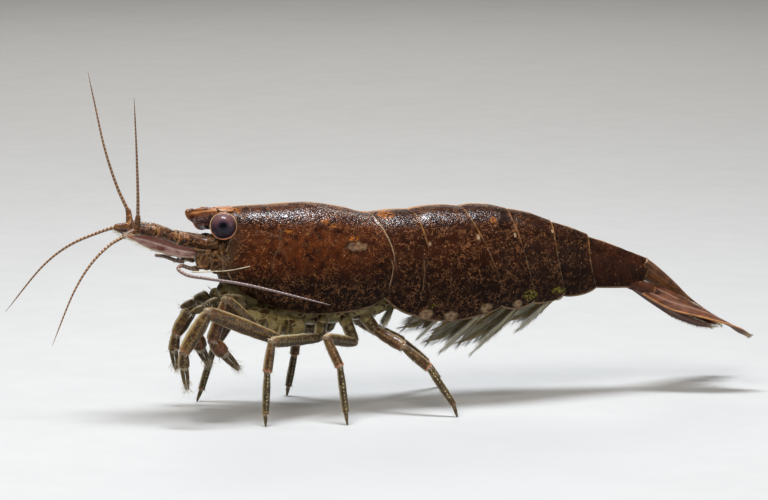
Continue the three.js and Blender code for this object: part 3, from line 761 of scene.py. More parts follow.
            # Painted backlight down the middle of the back, and the golden rear edge high on the plate.
            gold = np.maximum(stripe * 0.95, 0.8 * rear_line * smoothstep(0.5, 0.2, down))
            pale = 0.6 * rear_line * smoothstep(0.2, 0.6, down) * (0.7 + 0.5 * ripple(ring, 0.5, 8))
        if index in OPEN_FRONTS:
            strength, width, top = OPEN_FRONTS[index]
            front_line = strength * line(from_front, 0.03, width) * smoothstep(top, 0.55, down)
            pale = np.maximum(pale, front_line * broken)
        hem_line = (0.75 if index in (0, 6) else 1.0) * line(self.to_hem, 0.05, 0.05) * broken
        spots = patches(ring, PALE_PATCHES)
        spotted = spots * (0.4 if index == 0 else 0.85) * (0.8 + 0.4 * ripple(ring, 0.25, 12))
        pale = np.maximum.reduce([pale, hem_line, spotted, 0.9 * patches(ring, HINGES)])
        rims = patches(ring, PATCH_RIMS) * (1 - spots)
        dark = np.maximum.reduce([dark, line(self.to_hem, 0.19, 0.07), 0.95 * rims])
        return {"red": red, "dark": dark, "gold": gold, "pale": pale, "shine": shine,
                "orange": 0.6 * patches(ring, ORANGE_SPOTS), "yellow": patches(ring, YELLOW_PATCHES),
                "plain": np.full_like(down, self.plate["plain"])}


def build_plate(index, material):
    grid = PlateGrid(index)
    across = np.roll(grid.ring, -1, axis=1) - np.roll(grid.ring, 1, axis=1)
    normal = unit(np.cross(np.gradient(grid.ring, axis=0), across))
    grid.ring = grid.ring + normal * (grid.relief() * (1 - grid.belly))[..., None]
    values = {name: np.clip(value, 0, 1) * (1 - grid.belly) for name, value in grid.marks().items()}
    values["dark"] = np.maximum(values["dark"], grid.belly * 0.3)
    values["pale"] = np.maximum(values["pale"], grid.belly * 0.35)

    # The plate's edges turn in, and a recess behind them closes it.  A step of it is so many shells deep, and
    # so far back from the edge.
    thick = normal * SHELL
    turn_in = ((1.6, 0.5 if index == 0 else 0.12), (1.0, 0.0), (0.3, -0.01))
    fore = [grid.ring[:1] - thick[:1] * deep + [back, 0, 0] for deep, back in turn_in]
    aft = [grid.ring[-1:] - thick[-1:] * deep - [back, 0, 0] for deep, back in turn_in[::-1]]
    rings = np.concatenate([*fore, grid.ring, *aft])
    values = {name: np.concatenate([*[v[:1]] * 3, v, *[v[-1:]] * 3]) for name, v in values.items()}
    shape = Shape()
    shape.rings(rings, rings[0].mean(axis=0), rings[-1].mean(axis=0), **values)
    piece(grid.plate["name"] + "_shell", shape, material, "shell", grid.plate["name"])


# ---------------------------------------- limbs
# Joints from the hip out to the tip or foot, with y as the distance from the middle plane.
LEGS = {
    "claw_1_left": [(-6.1, 0.9, 4.62), (-6.65, 1.25, 4.15), (-8.37, 1.7, 5.78), (-9.05, 1.75, 3.9),
                    (-8.45, 1.75, 3.25), (-7.72, 1.75, 2.46)],
    "claw_1_right": [(-6.1, 0.9, 4.62), (-6.65, 1.25, 4.15), (-8.0, 1.65, 5.2), (-8.8, 1.75, 3.6),
                     (-8.6, 1.75, 2.9), (-8.2, 1.75, 2.1)],
    "claw_2_left": [(-5.1, 0.9, 4.52), (-5.6, 1.7, 3.7), (-9.55, 2.75, 5.45), (-10.78, 2.9, 3.62),
                    (-10.75, 2.9, 2.9), (-10.6, 2.9, 1.86)],
    "claw_2_right": [(-5.1, 0.9, 4.52), (-5.6, 1.7, 3.7), (-8.6, 2.6, 5.05), (-9.55, 2.75, 3.5),
                     (-9.65, 2.8, 2.7), (-9.5, 2.8, 1.75)],
    "leg_3_left": [(-3.4, 0.92, 4.55), (-3.7, 1.5, 3.72), (-6.45, 2.8, 3.88), (-6.76, 3.1, 2.5),
                   (-6.95, 3.4, 0.55), (-6.95, 3.45, 0)],
    "leg_3_right": [(-3.4, 0.92, 4.55), (-3.9, 1.6, 3.75), (-6.6, 2.8, 4.2), (-7.5, 3.3, 2.7),
                    (-8.05, 3.6, 0.6), (-8.25, 3.7, 0)],
    "leg_4_left": [(-2.25, 0.92, 4.5), (-2.0, 1.6, 3.42), (-3.88, 3.2, 4.0), (-3.41, 3.8, 2.7),
                   (-3.25, 4.2, 0.6), (-3.2, 4.3, 0)],
    "leg_4_right": [(-2.25, 0.92, 4.5), (-2.3, 1.5, 3.6), (-3.45, 2.8, 3.5), (-3.45, 3.35, 2.1),
                    (-3.65, 3.7, 0.5), (-3.7, 3.8, 0)],
    "leg_5_left": [(-1.2, 0.92, 4.45), (-0.85, 1.4, 3.9), (0.13, 2.6, 3.26), (1.19, 3.3, 2.29),
                   (2.2, 3.85, 0.6), (2.35, 4.0, 0)],
    "leg_5_right": [(-1.2, 0.92, 4.45), (-0.8, 1.4, 3.85), (1.73, 2.5, 2.6), (3.2, 3.2, 1.35),
                    (3.95, 3.65, 0.45), (4.1, 3.75, 0)],
}
# For each segment from the hip outward.  sizes: half thickness at its start, middle and end.  tones: how
# red-brown it is.  rings: how orange its far end is.
WALKING = {"sizes": [(0.27, 0.3, 0.24), (0.2, 0.29, 0.25), (0.18, 0.235, 0.22), (0.15, 0.185, 0.155),
                     (0.11, 0.09, 0.03)],
           "tones": (0.0, 0.15, 0.45, 0.0, 0.0), "rings": (0.0, 0.15, 0.9, 0.12, 0.0)}
KINDS = {
    "claw_1": {"sizes": [(0.28, 0.34, 0.28), (0.24, 0.36, 0.28), (0.18, 0.31, 0.29), (0.22, 0.37, 0.3)],
               "tones": (0.0, 0.3, 0.75, 0.9), "rings": (0.0, 0.15, 0.3, 0.2), "finger": 0.16, "gape": 0.12},
    "claw_2": {"sizes": [(0.28, 0.34, 0.28), (0.24, 0.37, 0.3), (0.22, 0.36, 0.27), (0.19, 0.27, 0.24)],
               "tones": (0.0, 0.35, 0.3, 0.2), "rings": (0.0, 0.12, 0.6, 0.2), "finger": 0.135, "gape": 0.1},
    "leg_3": WALKING,
    "leg_4": WALKING,
    "leg_5": {**WALKING, "tones": (0.0, 0.5, 0.35, 0.1, 0.0)},
}
SHIN = 3  # the segment whose beads show
SEGMENT_SIDES, SEGMENT_STEP, FEWEST_STEPS = 16, 0.055, 14
FLATNESS = 0.86  # a segment's width beside its depth
FLOOR = 0.1  # an end below this height stands on the floor
FINGER_BOW = 0.03
FINGER_HAIRS = 32
# How many bristles there are round a segment's far end, and how long they are beside a leg's.
CLAW_CROWN = (14, 1.25)
LEG_CROWN = (8, 0.8)


def segment(shape, start, end, sizes, **values):
    """One length of a limb: narrow at its root, swollen in the middle and rimmed where it holds the next."""
    length = np.linalg.norm(end - start)
    u = ends_crowded(max(FEWEST_STEPS, int(length / SEGMENT_STEP)))
    radius = sizes[0] * (1 - u) * (1 - 2 * u) + 4 * sizes[1] * u * (1 - u) + sizes[2] * u * (2 * u - 1)
    radius = radius + 0.1 * sizes[2] * bell((u - 1) * length + 0.09, 0.05)
    centres = start + (end - start) * u[:, None]
    seed = int(abs(start[0] * 37)) % 97
    radius = radius * rounded(u, length, sizes[1] * 0.55) * (1 + 0.035 * ripple(centres, 0.5, seed))
    tube(shape, centres, radius * FLATNESS, radius, SEGMENT_SIDES, **values)
    return length


def paler_ends(u, angle):
    """How pale a segment is where it joins the ones before and after it."""
    return 0.5 * smoothstep(0.07, 0.01, u) + 0.3 * smoothstep(0.97, 1.0, u)


def joint_ball(shape, at, radius, **values):
    """The soft skin that bulges where two segments meet."""
    angle = np.linspace(0.15, math.pi - 0.15, 9)
    centres = at - np.array([1, 0, 0]) * np.cos(angle)[:, None] * radius
    tube(shape, centres, np.sin(angle) * radius, np.sin(angle) * radius, 12, **values)


def bristle(hairs, start, end, size, length, cell, density, crown):
    """Short bristles along a segment, and a few longer ones round its far end unless it is a foot."""
    way = unit(end - start)
    across = unit(np.cross(way, (0.0, 1.0, 0.02)))
    out = np.cross(across, way)
    rng = hairs.rng
    count = int(length * density)
    u = rng.uniform(0.08, 0.98, count)
    angle = rng.choice([0.0, math.pi], count) + rng.normal(0, 0.5, count)
    normal = across * np.cos(angle)[:, None] + out * np.sin(angle)[:, None]
    roots = start + (end - start) * u[:, None] + normal * lerp(size[1], size[2], u)[:, None] * 0.9
    ways = hairs.scattered(normal + way * 0.9, 0.2)
    spots = spots_in(cell, u, fraction_round(angle))
    hairs.add(roots, ways, rng.uniform(0.1, 0.24, count), SHORT_BRISTLE, spots)
    if end[2] < FLOOR:
        return
    count, longer = crown
    angle = rng.uniform(0, 2 * math.pi, count)
    normal = across * np.cos(angle)[:, None] + out * np.sin(angle)[:, None]
    roots = end - way * 0.05 + normal * size[2] * 0.9
    ways = hairs.scattered(normal * 0.9 + way, 0.25)
    spots = spots_in(cell, 0.99, fraction_round(angle))
    hairs.add(roots, ways, rng.uniform(0.14, 0.34, count) * longer, LONG_BRISTLE, spots)


def build_limb(name, material, hairs, cell):
    kind, side = name.rsplit("_", 1)
    form = KINDS[kind]
    joints = np.array(mirrored(SIDES[side], LEGS[name]))
    claw = "finger" in form
    shape = Shape()
    for i, size in enumerate(form["sizes"]):
        start, end = joints[i], joints[i + 1]
        way = unit(end - start)
        past = 0.04 if end[2] > FLOOR else 0.0
        tone, strength = form["tones"][i], form["rings"][i]
        length = segment(shape, start - way * 0.05, end + way * past, size, tone=tone, tip=paler_ends,
                         ring=lambda u, angle: strength * smoothstep(0.82, 0.9, u),
                         beads=1.0 if i == SHIN and not claw else 0.25)
        if i < len(form["sizes"]) - 1:
            joint_ball(shape, end, size[2] * 0.78, tone=tone, tip=0.2, ring=0.1)
        bristle(hairs, start, end, size, length, cell, 9 if i else 3, CLAW_CROWN if claw else LEG_CROWN)
    if claw:
        build_fingers(shape, hairs, joints, form, cell)
    piece(name + "_limb", shape, material, "claw" if claw else "leg", name)


def build_fingers(shape, hairs, joints, form, cell):
    """The two closed fingers past the palm: each bows outward and comes back to its fellow at a spooned tip,
    where it has a brush of hairs."""
    root, tip = joints[-2], joints[-1]
    way = unit(tip - root)
    spread = unit(np.cross(way, ACROSS))
    rng = hairs.rng
    joint_ball(shape, root, form["sizes"][-1][2] * 0.8, tone=0.3, tip=0.5)
    for sign in (1, -1):
        base = root + spread * sign * form["gape"] - way * 0.1
        end = tip + spread * sign * 0.04
        bow = spread * sign * FINGER_BOW

        def centre_line(u):
            return base + (end - base) * u[:, None] + bow * np.sin(math.pi * u)[:, None]

        def thickness(u):
            return form["finger"] * (1 - 0.5 * u**1.5)

        u = ends_crowded(22)
        radius = thickness(u) * rounded(u, np.linalg.norm(end - base), form["finger"] * 0.5)
        tube(shape, centre_line(u), radius * 0.95, radius * 0.8, 12, tone=0.1,
             tip=lambda u, angle: 0.35 * smoothstep(0.75, 1.0, u))
        u = rng.uniform(0.55, 1.0, FINGER_HAIRS)
        angle = rng.uniform(0, 2 * math.pi, FINGER_HAIRS)
        normal = spread * np.cos(angle)[:, None] + np.cross(way, spread) * np.sin(angle)[:, None]
        roots = centre_line(u) + normal * (thickness(u) * 0.8)[:, None]
        ways = hairs.scattered(way + normal * 0.75, 0.2)
        spots = spots_in(cell, 0.2 + 0.5 * u, fraction_round(angle))
        hairs.add(roots, ways, rng.uniform(0.22, 0.5, FINGER_HAIRS), LONG_BRISTLE, spots)


# ---------------------------------------- head parts
NEAR_EYE, FAR_EYE = 0.6, 0.52  # radii
EYES = {"left": ((-8.38, -1.45, 9.3), NEAR_EYE), "right": ((-8.56, 1.42, 9.26), FAR_EYE)}
STALK_HEIGHT = 9.12
SPOT_TURN = math.radians(18)  # how far forward the eye's dark spot faces
LOOK = unit([-math.sin(SPOT_TURN), -math.cos(SPOT_TURN), 0.12])
# How wide the near eye's stalk is at fractions of the way out to the cup's rim.
STALK = [(0.0, 0.24), (0.18, 0.26), (0.34, 0.27), (0.5, 0.3), (0.62, 0.37), (0.74, 0.47), (0.84, 0.55),
         (0.92, 0.6), (0.97, 0.62), (1.0, 0.625), (0.985, 0.6)]


def build_eyes(cornea, skin):
    """Each eye's ball, and the stalk that widens to a cup, whose rim is the thin ring that shows round it."""
    for name, (centre, eyeball) in EYES.items():
        side = SIDES[name]
        centre = np.array(centre)
        axis = unit(np.array([-0.25, side, 0.05]))  # the way the eye sticks out of its cup
        look = LOOK * [1, -side, 1]
        polar = np.linspace(0.05, math.pi - 0.05, 40)
        round_ball = np.sin(polar) * eyeball
        shape = Shape()
        tube(shape, centre + axis * np.cos(polar)[:, None] * eyeball, round_ball, round_ball, 56, UPWARD)

        def facing(points):
            ways = unit(points - centre)
            return {"up": ways[:, 2], "outward": ways @ look}

        shape.mark(facing)
        piece(f"eye_{name}_cornea", shape, cornea, "eye", f"eye_{name}")

        shape = Shape()
        root = np.array([centre[0] - 0.12, side * 0.05, STALK_HEIGHT])
        cup = centre - axis * 0.02
        reach, radius = np.transpose(STALK)
        where = np.linspace(0, 1, len(STALK))
        fine = np.linspace(0, 1, 44)
        centres = resampled(fine, where, root + (cup - root) * reach[:, None])
        radius = np.interp(fine, where, radius) * eyeball / NEAR_EYE
        tube(shape, centres, radius, radius, 40, UPWARD,
             low=lambda u, angle: smoothstep(0.85, 1.0, u) * smoothstep(0.1, 0.9, -np.sin(angle)),
             stalk=lambda u, angle: smoothstep(0.97, 0.93, u))
        turn = np.linspace(0, 2 * math.pi, 73)
        up = unit(UPWARD - axis * axis[2])
        around = up * np.cos(turn)[:, None] + np.cross(axis, up) * np.sin(turn)[:, None]
        lower = smoothstep(0.0, 1.0, -np.cos(turn))
        rim = cup + axis * 0.02 + around * (eyeball + 0.012)
        thick = 0.026 + 0.026 * lower
        tube(shape, rim, thick, thick, 10, axis, low=lower, stalk=0.0)
        piece(f"eyestalk_{name}_cup", shape, skin, "eyestalk", f"eyestalk_{name}")


BEAK_BASE, BEAK_TIP, BEAK_TOP = -7.6, -9.8, 9.99
BEAK_DEPTH = hermite([(BEAK_TIP, 0.18), (-9.6, 0.28), (-9.3, 0.38), (-9.0, 0.42), (-8.6, 0.4), (-8.2, 0.32),
                      (BEAK_BASE, 0.2)])
# The broken tip's hollow, ring by ring: how wide it is beside the tip, how far back, and how dark.
HOLLOW = [(0.9, -0.02, 0.1), (0.75, 0.0, 0.5), (0.6, 0.08, 0.9), (0.42, 0.18, 1), (0.2, 0.26, 1)]


def build_rostrum(material):
    """A short blunt beak: orange on top and at the tip, clear below, with a hollow in the broken tip."""
    count = 96
    u = np.linspace(0, 1, count + 1)
    reach = lerp(BEAK_BASE, BEAK_TIP, u)
    blunt = lerp(0.6, 1.0, rounded(u, 2.2, 0.1, start=False))
    middle = BEAK_TOP - 0.05 * u - BEAK_DEPTH(reach)
    depth = BEAK_DEPTH(reach) * blunt
    width = lerp(0.6, 0.13, smoothstep(0, 0.65, u)) * (1 + 0.35 * bell(u - 0.96, 0.06)) * blunt
    angle = full_circle(72)[None, :]
    high = np.cos(angle)
    out = width[:, None] * np.sin(angle) * lerp(0.3, 1.0, smoothstep(-0.8, 0.45, high))
    teeth = 0.028 * np.clip(np.sin(u * 2 * math.pi * 6), 0, 1) ** 2 * smoothstep(0.2, 0.35, u) * (u < 0.9)
    rise = depth[:, None] * high + teeth[:, None] * np.clip(high, 0, 1) ** 10
    rings = np.stack(np.broadcast_arrays(reach[:, None], out, middle[:, None] + rise), axis=-1)
    rings = rings + 0.01 * ripple(rings, 0.3, 61)[..., None] * [0, 1, 1]
    tip = np.array([reach[-1], 0, middle[-1]])
    inner = [tip + (rings[-1] - tip) * size + [back, 0, 0] for size, back, _ in HOLLOW]
    rings = np.concatenate([rings, inner])

    whole = np.r_[u, np.ones(len(HOLLOW))][:, None]
    hollow = np.r_[np.zeros(count + 1), [dark for _, _, dark in HOLLOW]][:, None] + 0 * high
    behind_tip = smoothstep(0.99, 0.94, whole)
    x, z = rings[..., 0], rings[..., 2]
    below = 9.745 + 0.1 * (x + 9.59) - z  # how far below the side's pale ridge
    ridge = bell(below, 0.035) * smoothstep(0.08, 0.2, whole)
    saw = 0.05 + 0.075 * np.abs(np.sin((x + 8) * math.pi / 0.19))
    notches = smoothstep(0.03, 0.05, below) * smoothstep(saw + 0.015, saw - 0.015, below)
    notches = notches * smoothstep(0.1, 0.25, whole) * smoothstep(0.72, 0.62, whole)
    streak = bell(below + 0.1, 0.035) * smoothstep(0.6, 0.75, whole) * behind_tip
    spot = bell(whole - 0.86, 0.045) * bell(below - 0.2, 0.08)
    keel = 0.8 * bell(below - 0.56, 0.06) * behind_tip
    shape = Shape()
    shape.rings(
        rings, [reach[0], 0, middle[0]], tip + [0.27, 0, 0],
        hollow=np.maximum.reduce([hollow, 0.85 * notches, 0.8 * streak, spot, keel]),
        clear=smoothstep(0.16, 0.3, below) * smoothstep(0.2, 0.4, whole) * behind_tip * (1 - hollow),
        pink=bell(below - 0.13, 0.06) * smoothstep(0.25, 0.4, whole) * smoothstep(0.9, 0.75, whole),
        pale=np.maximum(0.9 * ridge, 0.6 * smoothstep(-0.9, -0.97, high) * behind_tip))
    piece("rostrum_beak", shape, material, "rostrum", "rostrum")


# ---------------------------------------- feelers
LASHES = {
    "antennule_outer_left": [(-12.33, 0.72, 9.72), (-12.4, 1.0, 10.9), (-12.59, 1.5, 13.07),
                             (-12.88, 2.2, 15.6)],
    "antennule_inner_left": [(-12.92, 0.62, 8.92), (-13.74, 0.9, 8.57), (-14.67, 1.1, 7.79),
                             (-15.55, 1.3, 6.59), (-16.75, 1.6, 4.06)],
    "antennule_outer_right": [(-12.42, 0.62, 9.86), (-12.92, 0.7, 11.0), (-13.48, 0.8, 12.8),
                              (-13.9, 1.0, 14.92), (-14.2, 1.1, 16.48)],
    "antennule_inner_right": [(-12.97, 0.55, 9.2), (-13.76, 0.8, 8.93), (-15.11, 1.2, 8.32),
                              (-16.23, 1.6, 7.41), (-18.0, 2.3, 5.1)],
    "antenna_left": [(-9.55, 1.24, 7.3), (-9.95, 1.27, 7.33), (-10.42, 1.45, 7.5), (-10.72, 1.9, 7.42),
                     (-10.42, 2.38, 7.2), (-9.6, 2.7, 7.05), (-8.0, 3.3, 6.8), (-6.3, 4.0, 6.4),
                     (-4.2, 4.8, 5.85)],
    "antenna_right": [(-9.55, 1.24, 7.3), (-9.95, 1.27, 7.33), (-10.42, 1.45, 7.5), (-10.7, 1.9, 7.5),
                      (-10.4, 2.4, 7.4), (-9.5, 2.75, 7.35), (-7.8, 3.3, 7.3), (-5.6, 4.1, 7.1),
                      (-3.0, 4.8, 6.6)],
}
LASH_JOINT = 0.19  # length of one joint of a lash
STEM = [(-8.75, 0.55, 8.3), (-9.3, 0.45, 8.4), (-10.2, 0.42, 8.6), (-11.1, 0.42, 8.95)]
STEM_TIPS = {"left": (-12.5, 0.5, 9.12), "right": (-12.55, 0.46, 9.26)}
STEM_STEPS = 120
STEM_RADIUS = 0.27  # on the whole, where its hairs stand
STEM_HAIRS = 120
# A stem's three segments: first and last step, and half thickness at both ends.
STEM_SEGMENTS = ((0, 52, 0.3, 0.33), (50, 86, 0.27, 0.3), (84, STEM_STEPS, 0.24, 0.27))


def build_stems(material, hairs):
    """Each first feeler's stem: three segments, each rimmed at its far end, and the lashes' two roots."""
    for name, side in SIDES.items():
        path = smooth_path(mirrored(side, [*STEM, STEM_TIPS[name]]), STEM_STEPS)
        shape = Shape()
        for first, last, root, far in STEM_SEGMENTS:
            centres = path[first : last + 1]
            u = np.linspace(0, 1, len(centres))
            radius = lerp(root, far, u) * (1 + 0.07 * bell(u - 0.93, 0.05)) * rounded(u, 1.2, 0.16)
            radius = radius * (1 + 0.04 * ripple(centres, 0.4, first + 3))
            tube(shape, centres, radius * 0.95, radius, 20,
                 ring=lambda u, angle: 0.8 * smoothstep(0.9, 0.97, u) + 0.3 * smoothstep(0.06, 0.0, u))
        for lash in ("outer", "inner"):
            root, goal = np.array(mirrored(side, LASHES[f"antennule_{lash}_{name}"][:2]))
            base = path[-6]
            centres = smooth_path([base, lerp(base, root, 0.55), root, root + unit(goal - root) * 0.12], 16)
            radius = lerp(0.19, 0.12, np.linspace(0, 1, 17))
            tube(shape, centres, radius, radius, 14, ring=0.2)
        piece(f"antennule_stem_{name}_skin", shape, material, "feeler", f"antennule_stem_{name}")
        at = hairs.rng.integers(4, STEM_STEPS - 1, STEM_HAIRS)
        angle = hairs.rng.normal(0, 1.0, STEM_HAIRS)
        normal = np.stack([np.full(STEM_HAIRS, -0.3), np.sin(angle), np.cos(angle)], 1)
        ways = hairs.scattered(normal + [-0.55, 0, 0.1], 0.25)
        spots = spots_in(STEM_CELL + (side > 0), at / STEM_STEPS, fraction_round(angle))
        roots = path[at] + unit(normal) * STEM_RADIUS
        hairs.add(roots, ways, hairs.rng.uniform(0.12, 0.34, STEM_HAIRS), STEM_HAIR, spots)


def build_lashes(material):
    """The feelers: tapering, and ringed with a slight waist between their joints."""
    for name, route in LASHES.items():
        side = SIDES[name.rsplit("_", 1)[1]]
        antenna = name.startswith("antenna_")
        count = 300 if antenna else 260
        centres = smooth_path(mirrored(side, route), count, 1.15 if antenna else 1.0)
        u = np.linspace(0, 1, count + 1)
        thick, thin = (0.105, 0.045) if antenna else (0.09, 0.026)
        radius = lerp(thick, thin, u**0.75) + (0.05 * smoothstep(0.07, 0.02, u) if antenna else 0)
        waist = (0.03 if antenna else 0.06) * np.sin(2 * math.pi * run_along(centres) / LASH_JOINT)
        radius = radius * smoothstep(1.12, 0.8, u) * (1 + waist)
        faint = (0.55 + 0.4 * smoothstep(0.2, 0.45, u)) * antenna
        shape = Shape()
        tube(shape, centres, radius, radius, 10, (0.3, 1, 0), faint=faint)
        piece(name + "_lash", shape, material, "feeler", name)


# ---------------------------------------- blades
def swell(edge, middle, start, end):
    """A fin's half width: edge at its ends and middle between them, from start to end of a half wave."""
    return lambda u: edge + (middle - edge) * np.sin(math.pi * lerp(start, end, u))


def end_taper(profile, start, left):
    """A profile that from start on rounds off to the part of it that is left at its end."""
    return lambda u: profile(u) * lerp(1.0, left, smoothstep(start, 1.0, u) ** 1.5)


def blade(shape, path, half_width, across, thickness, keel, tip_from, count=44, edge_side=0, curl=0.0,
          twist=0.0):
    """A thin fin along a path, with a raised midrib.  thickness is at its root and tip, and edge_side says
    which margin is the coloured one.  Gives back what its fringe grows on."""
    centres = smooth_path(path, count)
    u = np.linspace(0, 1, count + 1)[:, None]
    _, wide, deep = carried_frames(centres, across)
    turn = twist * u**2
    wide, deep = wide * np.cos(turn) + deep * np.sin(turn), deep * np.cos(turn) - wide * np.sin(turn)
    angle = full_circle(40)[None, :]
    lane = np.sin(angle)
    width = half_width(u)
    thick = lerp(*thickness, u) * (0.35 + 0.65 * np.sqrt(np.clip(1 - lane**2, 0, 1))) * rounded(u, 1.0, 0.03)
    thick = thick + keel * bell(lane / 0.16, 1) * smoothstep(1.0, 0.55, u)
    thick = thick + 0.006 * np.cos(lane * 22) * np.abs(np.cos(angle))
    if edge_side:
        thick = thick + keel * 0.8 * bell(lane - edge_side * 0.93, 0.12) * smoothstep(1.0, 0.7, u)
    high = thick * np.sign(np.cos(angle)) * np.sqrt(np.abs(np.cos(angle)) + 1e-6) + curl * lane**2 * width
    rings = centres[:, None] + wide[:, None] * (width * lane)[..., None] + deep[:, None] * high[..., None]
    shape.rings(rings, centres[0], centres[-1], lane=lane, tip=smoothstep(tip_from, 1.0, u),
                ridge=bell(lane, 0.14),
                edge=smoothstep(0.85, 0.97, lane * edge_side) * smoothstep(1.0, 0.9, u))
    return centres, wide, half_width


def fringe(hairs, fin, start, length, spacing, cell, margins=(1, -1), lean=1.0, radius=FRINGE_HAIR):
    """Hairs along a fin's margins from start on, and round its tip, leaning to the tip."""
    centres, wide, half_width = fin
    u = np.linspace(0, 1, len(centres))
    along = unit(np.gradient(centres, axis=0))
    count = max(4, int(run_along(centres)[-1] * (1 - start) / spacing))
    for sign in margins:
        at = hairs.rng.uniform(start, 1.0, count)
        place, way, out = (resampled(at, u, grid) for grid in (centres, along, wide))
        roots = place + out * np.interp(at, u, half_width(u))[:, None] * sign * 0.97
        ways = hairs.scattered(out * sign * (1.1 - 0.5 * at[:, None]) + way * lean, 0.12)
        grown = hairs.rng.uniform(0.7, 1.1, count) * length * smoothstep(start - 0.02, start + 0.25, at)
        hairs.add(roots, ways, np.maximum(grown, 0.05), radius, spots_in(cell, at, 0.25 + 0.5 * (sign > 0)))
    count = max(10, int(half_width(0.96) * 2 / spacing * 2.2))
    lane = hairs.rng.uniform(-1, 1, count)
    roots = centres[-2] + wide[-2] * (lane * half_width(0.95) * 0.8)[:, None]
    ways = hairs.scattered(along[-1] * 1.3 + wide[-2] * (lane * 0.55)[:, None], 0.08)
    spots = spots_in(cell, 0.99, lane / 2 + 0.5)
    hairs.add(roots, ways, hairs.rng.uniform(0.75, 1.15, count) * length, radius, spots)


def build_scales(material, hairs):
    """The scale beside each antenna's base, fringed along its inner margin and round its tip."""
    path = [(-9.7, 1.25, 8.0), (-10.6, 1.25, 8.2), (-11.6, 1.25, 8.55), (-13.0, 1.2, 9.0)]
    for name, side in SIDES.items():
        width = end_taper(swell(0.2, 0.45, 0.1, 0.92), 0.66, 0.26)
        shape = Shape()
        fin = blade(shape, mirrored(side, path), width, (0, side * 0.77, -0.64), thickness=(0.05, 0.05),
                    keel=0.02, tip_from=0.86, edge_side=1)
        cell = SCALE_CELL + (side > 0)
        fringe(hairs, fin, start=0.4, length=0.34, spacing=0.02, cell=cell, margins=(1,), lean=1.3)
        fringe(hairs, fin, start=0.72, length=0.26, spacing=0.03, cell=cell, margins=(-1,), lean=1.3)
        piece(f"antennal_scale_{name}_blade", shape, material, "antennal_scale", f"antennal_scale_{name}")


SWIMMERETS = [
    {"root": (0.35, 4.95), "tip": (-0.35, 4.0), "width": 0.3, "fringe": 0.35},
    {"root": (3.0, 4.55), "tip": (1.55, 3.5), "width": 0.36, "fringe": 0.5},
    {"root": (5.2, 4.6), "tip": (2.7, 2.75), "width": 0.42, "fringe": 0.5},
    {"root": (7.0, 4.75), "tip": (4.3, 2.6), "width": 0.42, "fringe": 0.5},
    {"root": (8.7, 4.95), "tip": (6.6, 3.55), "width": 0.34, "fringe": 0.5},
]
# Each swimmeret's two branches: how far out and down from the root's line, how long and how wide.
BRANCHES = ((0.16, -0.06, 1.0, 1.0), (-0.12, 0.1, 0.86, 0.8))


def build_swimmerets(material, hairs):
    """Each swimmeret: a short stem and two fringed blades that trail forward and down."""
    for i, form in enumerate(SWIMMERETS):
        for name, side in SIDES.items():
            spread = 0.62 - 0.05 * i
            (x0, z0), (x1, z1) = form["root"], form["tip"]
            if side > 0:  # the far ones are half a beat ahead
                x1, z1 = x1 - 0.3, z1 + 0.12
            shape = Shape()
            knee = (lerp(x0, x1, 0.1), spread, lerp(z0, z1, 0.1) + 0.1)
            hip = (x0 + 0.1, spread - 0.05, z0 + 0.35)
            stem = smooth_path(mirrored(side, [hip, (x0, spread, z0), knee]), 18)
            u = np.linspace(0, 1, 19)
            ends = rounded(u, 1.0, 0.12)
            tube(shape, stem, lerp(0.2, 0.17, u) * ends, lerp(0.26, 0.2, u) * ends, 16, lane=0.4, ridge=0.15)
            for branch, (out, drop, reach, broad) in enumerate(BRANCHES):
                tip = (lerp(x0, x1, reach), spread + 0.1 + out, lerp(z0, z1, reach) + drop)
                x, _, z = (lerp(a, b, 0.5) for a, b in zip(knee, tip))
                path = mirrored(side, [knee, (x - 0.06, spread + out * 0.8, z - 0.08), tip])
                width = end_taper(swell(0.1, form["width"] * 0.85 * broad, 0.1, 0.86), 0.72, 0.22)
                across = (0.6, 0.25 * side * (1 - 2 * branch), 0.8)
                fin = blade(shape, path, width, across, thickness=(0.03, 0.03), keel=0.03, tip_from=0.7,
                            count=36)
                fringe(hairs, fin, start=0.25, length=form["fringe"], spacing=0.016,
                       cell=i * 2 + (side > 0), lean=2.2, radius=FINE_FRINGE_HAIR)
            node = f"swimmeret_{i + 1}_{name}"
            piece(node + "_blades", shape, material, "swimmeret", node)


TELSON = [(12.95, 0, 6.12), (13.6, 0, 5.72), (14.6, 0, 4.98), (15.4, 0, 4.32), (16.55, 0, 3.55)]
TAIL_STEM = [(12.0, 0.34, 5.5), (12.8, 0.5, 5.22), (13.75, 0.74, 4.8)]
OUTER_BLADE = [(12.95, 0.66, 5.0), (14.3, 1.15, 4.36), (15.4, 1.47, 4.02), (16.6, 1.75, 3.5),
               (18.0, 1.96, 2.72)]
OUTER_TWIST = 1.3  # the outer blades' rims turn up towards their ends
INNER_BLADES = {  # the near one is folded up against the telson
    "left": [(13.0, 0.45, 5.3), (14.3, 0.66, 4.68), (15.5, 0.84, 3.95), (16.85, 1.02, 3.2)],
    "right": [(13.1, 0.5, 4.8), (14.5, 0.66, 4.02), (15.5, 0.85, 3.44), (17.25, 1.1, 2.68)],
}


def stem_bands(u, angle):
    """Two coloured bands across the stem of the tail blades."""
    return 0.5 * bell(u - 0.84, 0.02) + 0.3 * bell(u - 0.42, 0.02) * np.abs(np.cos(angle))


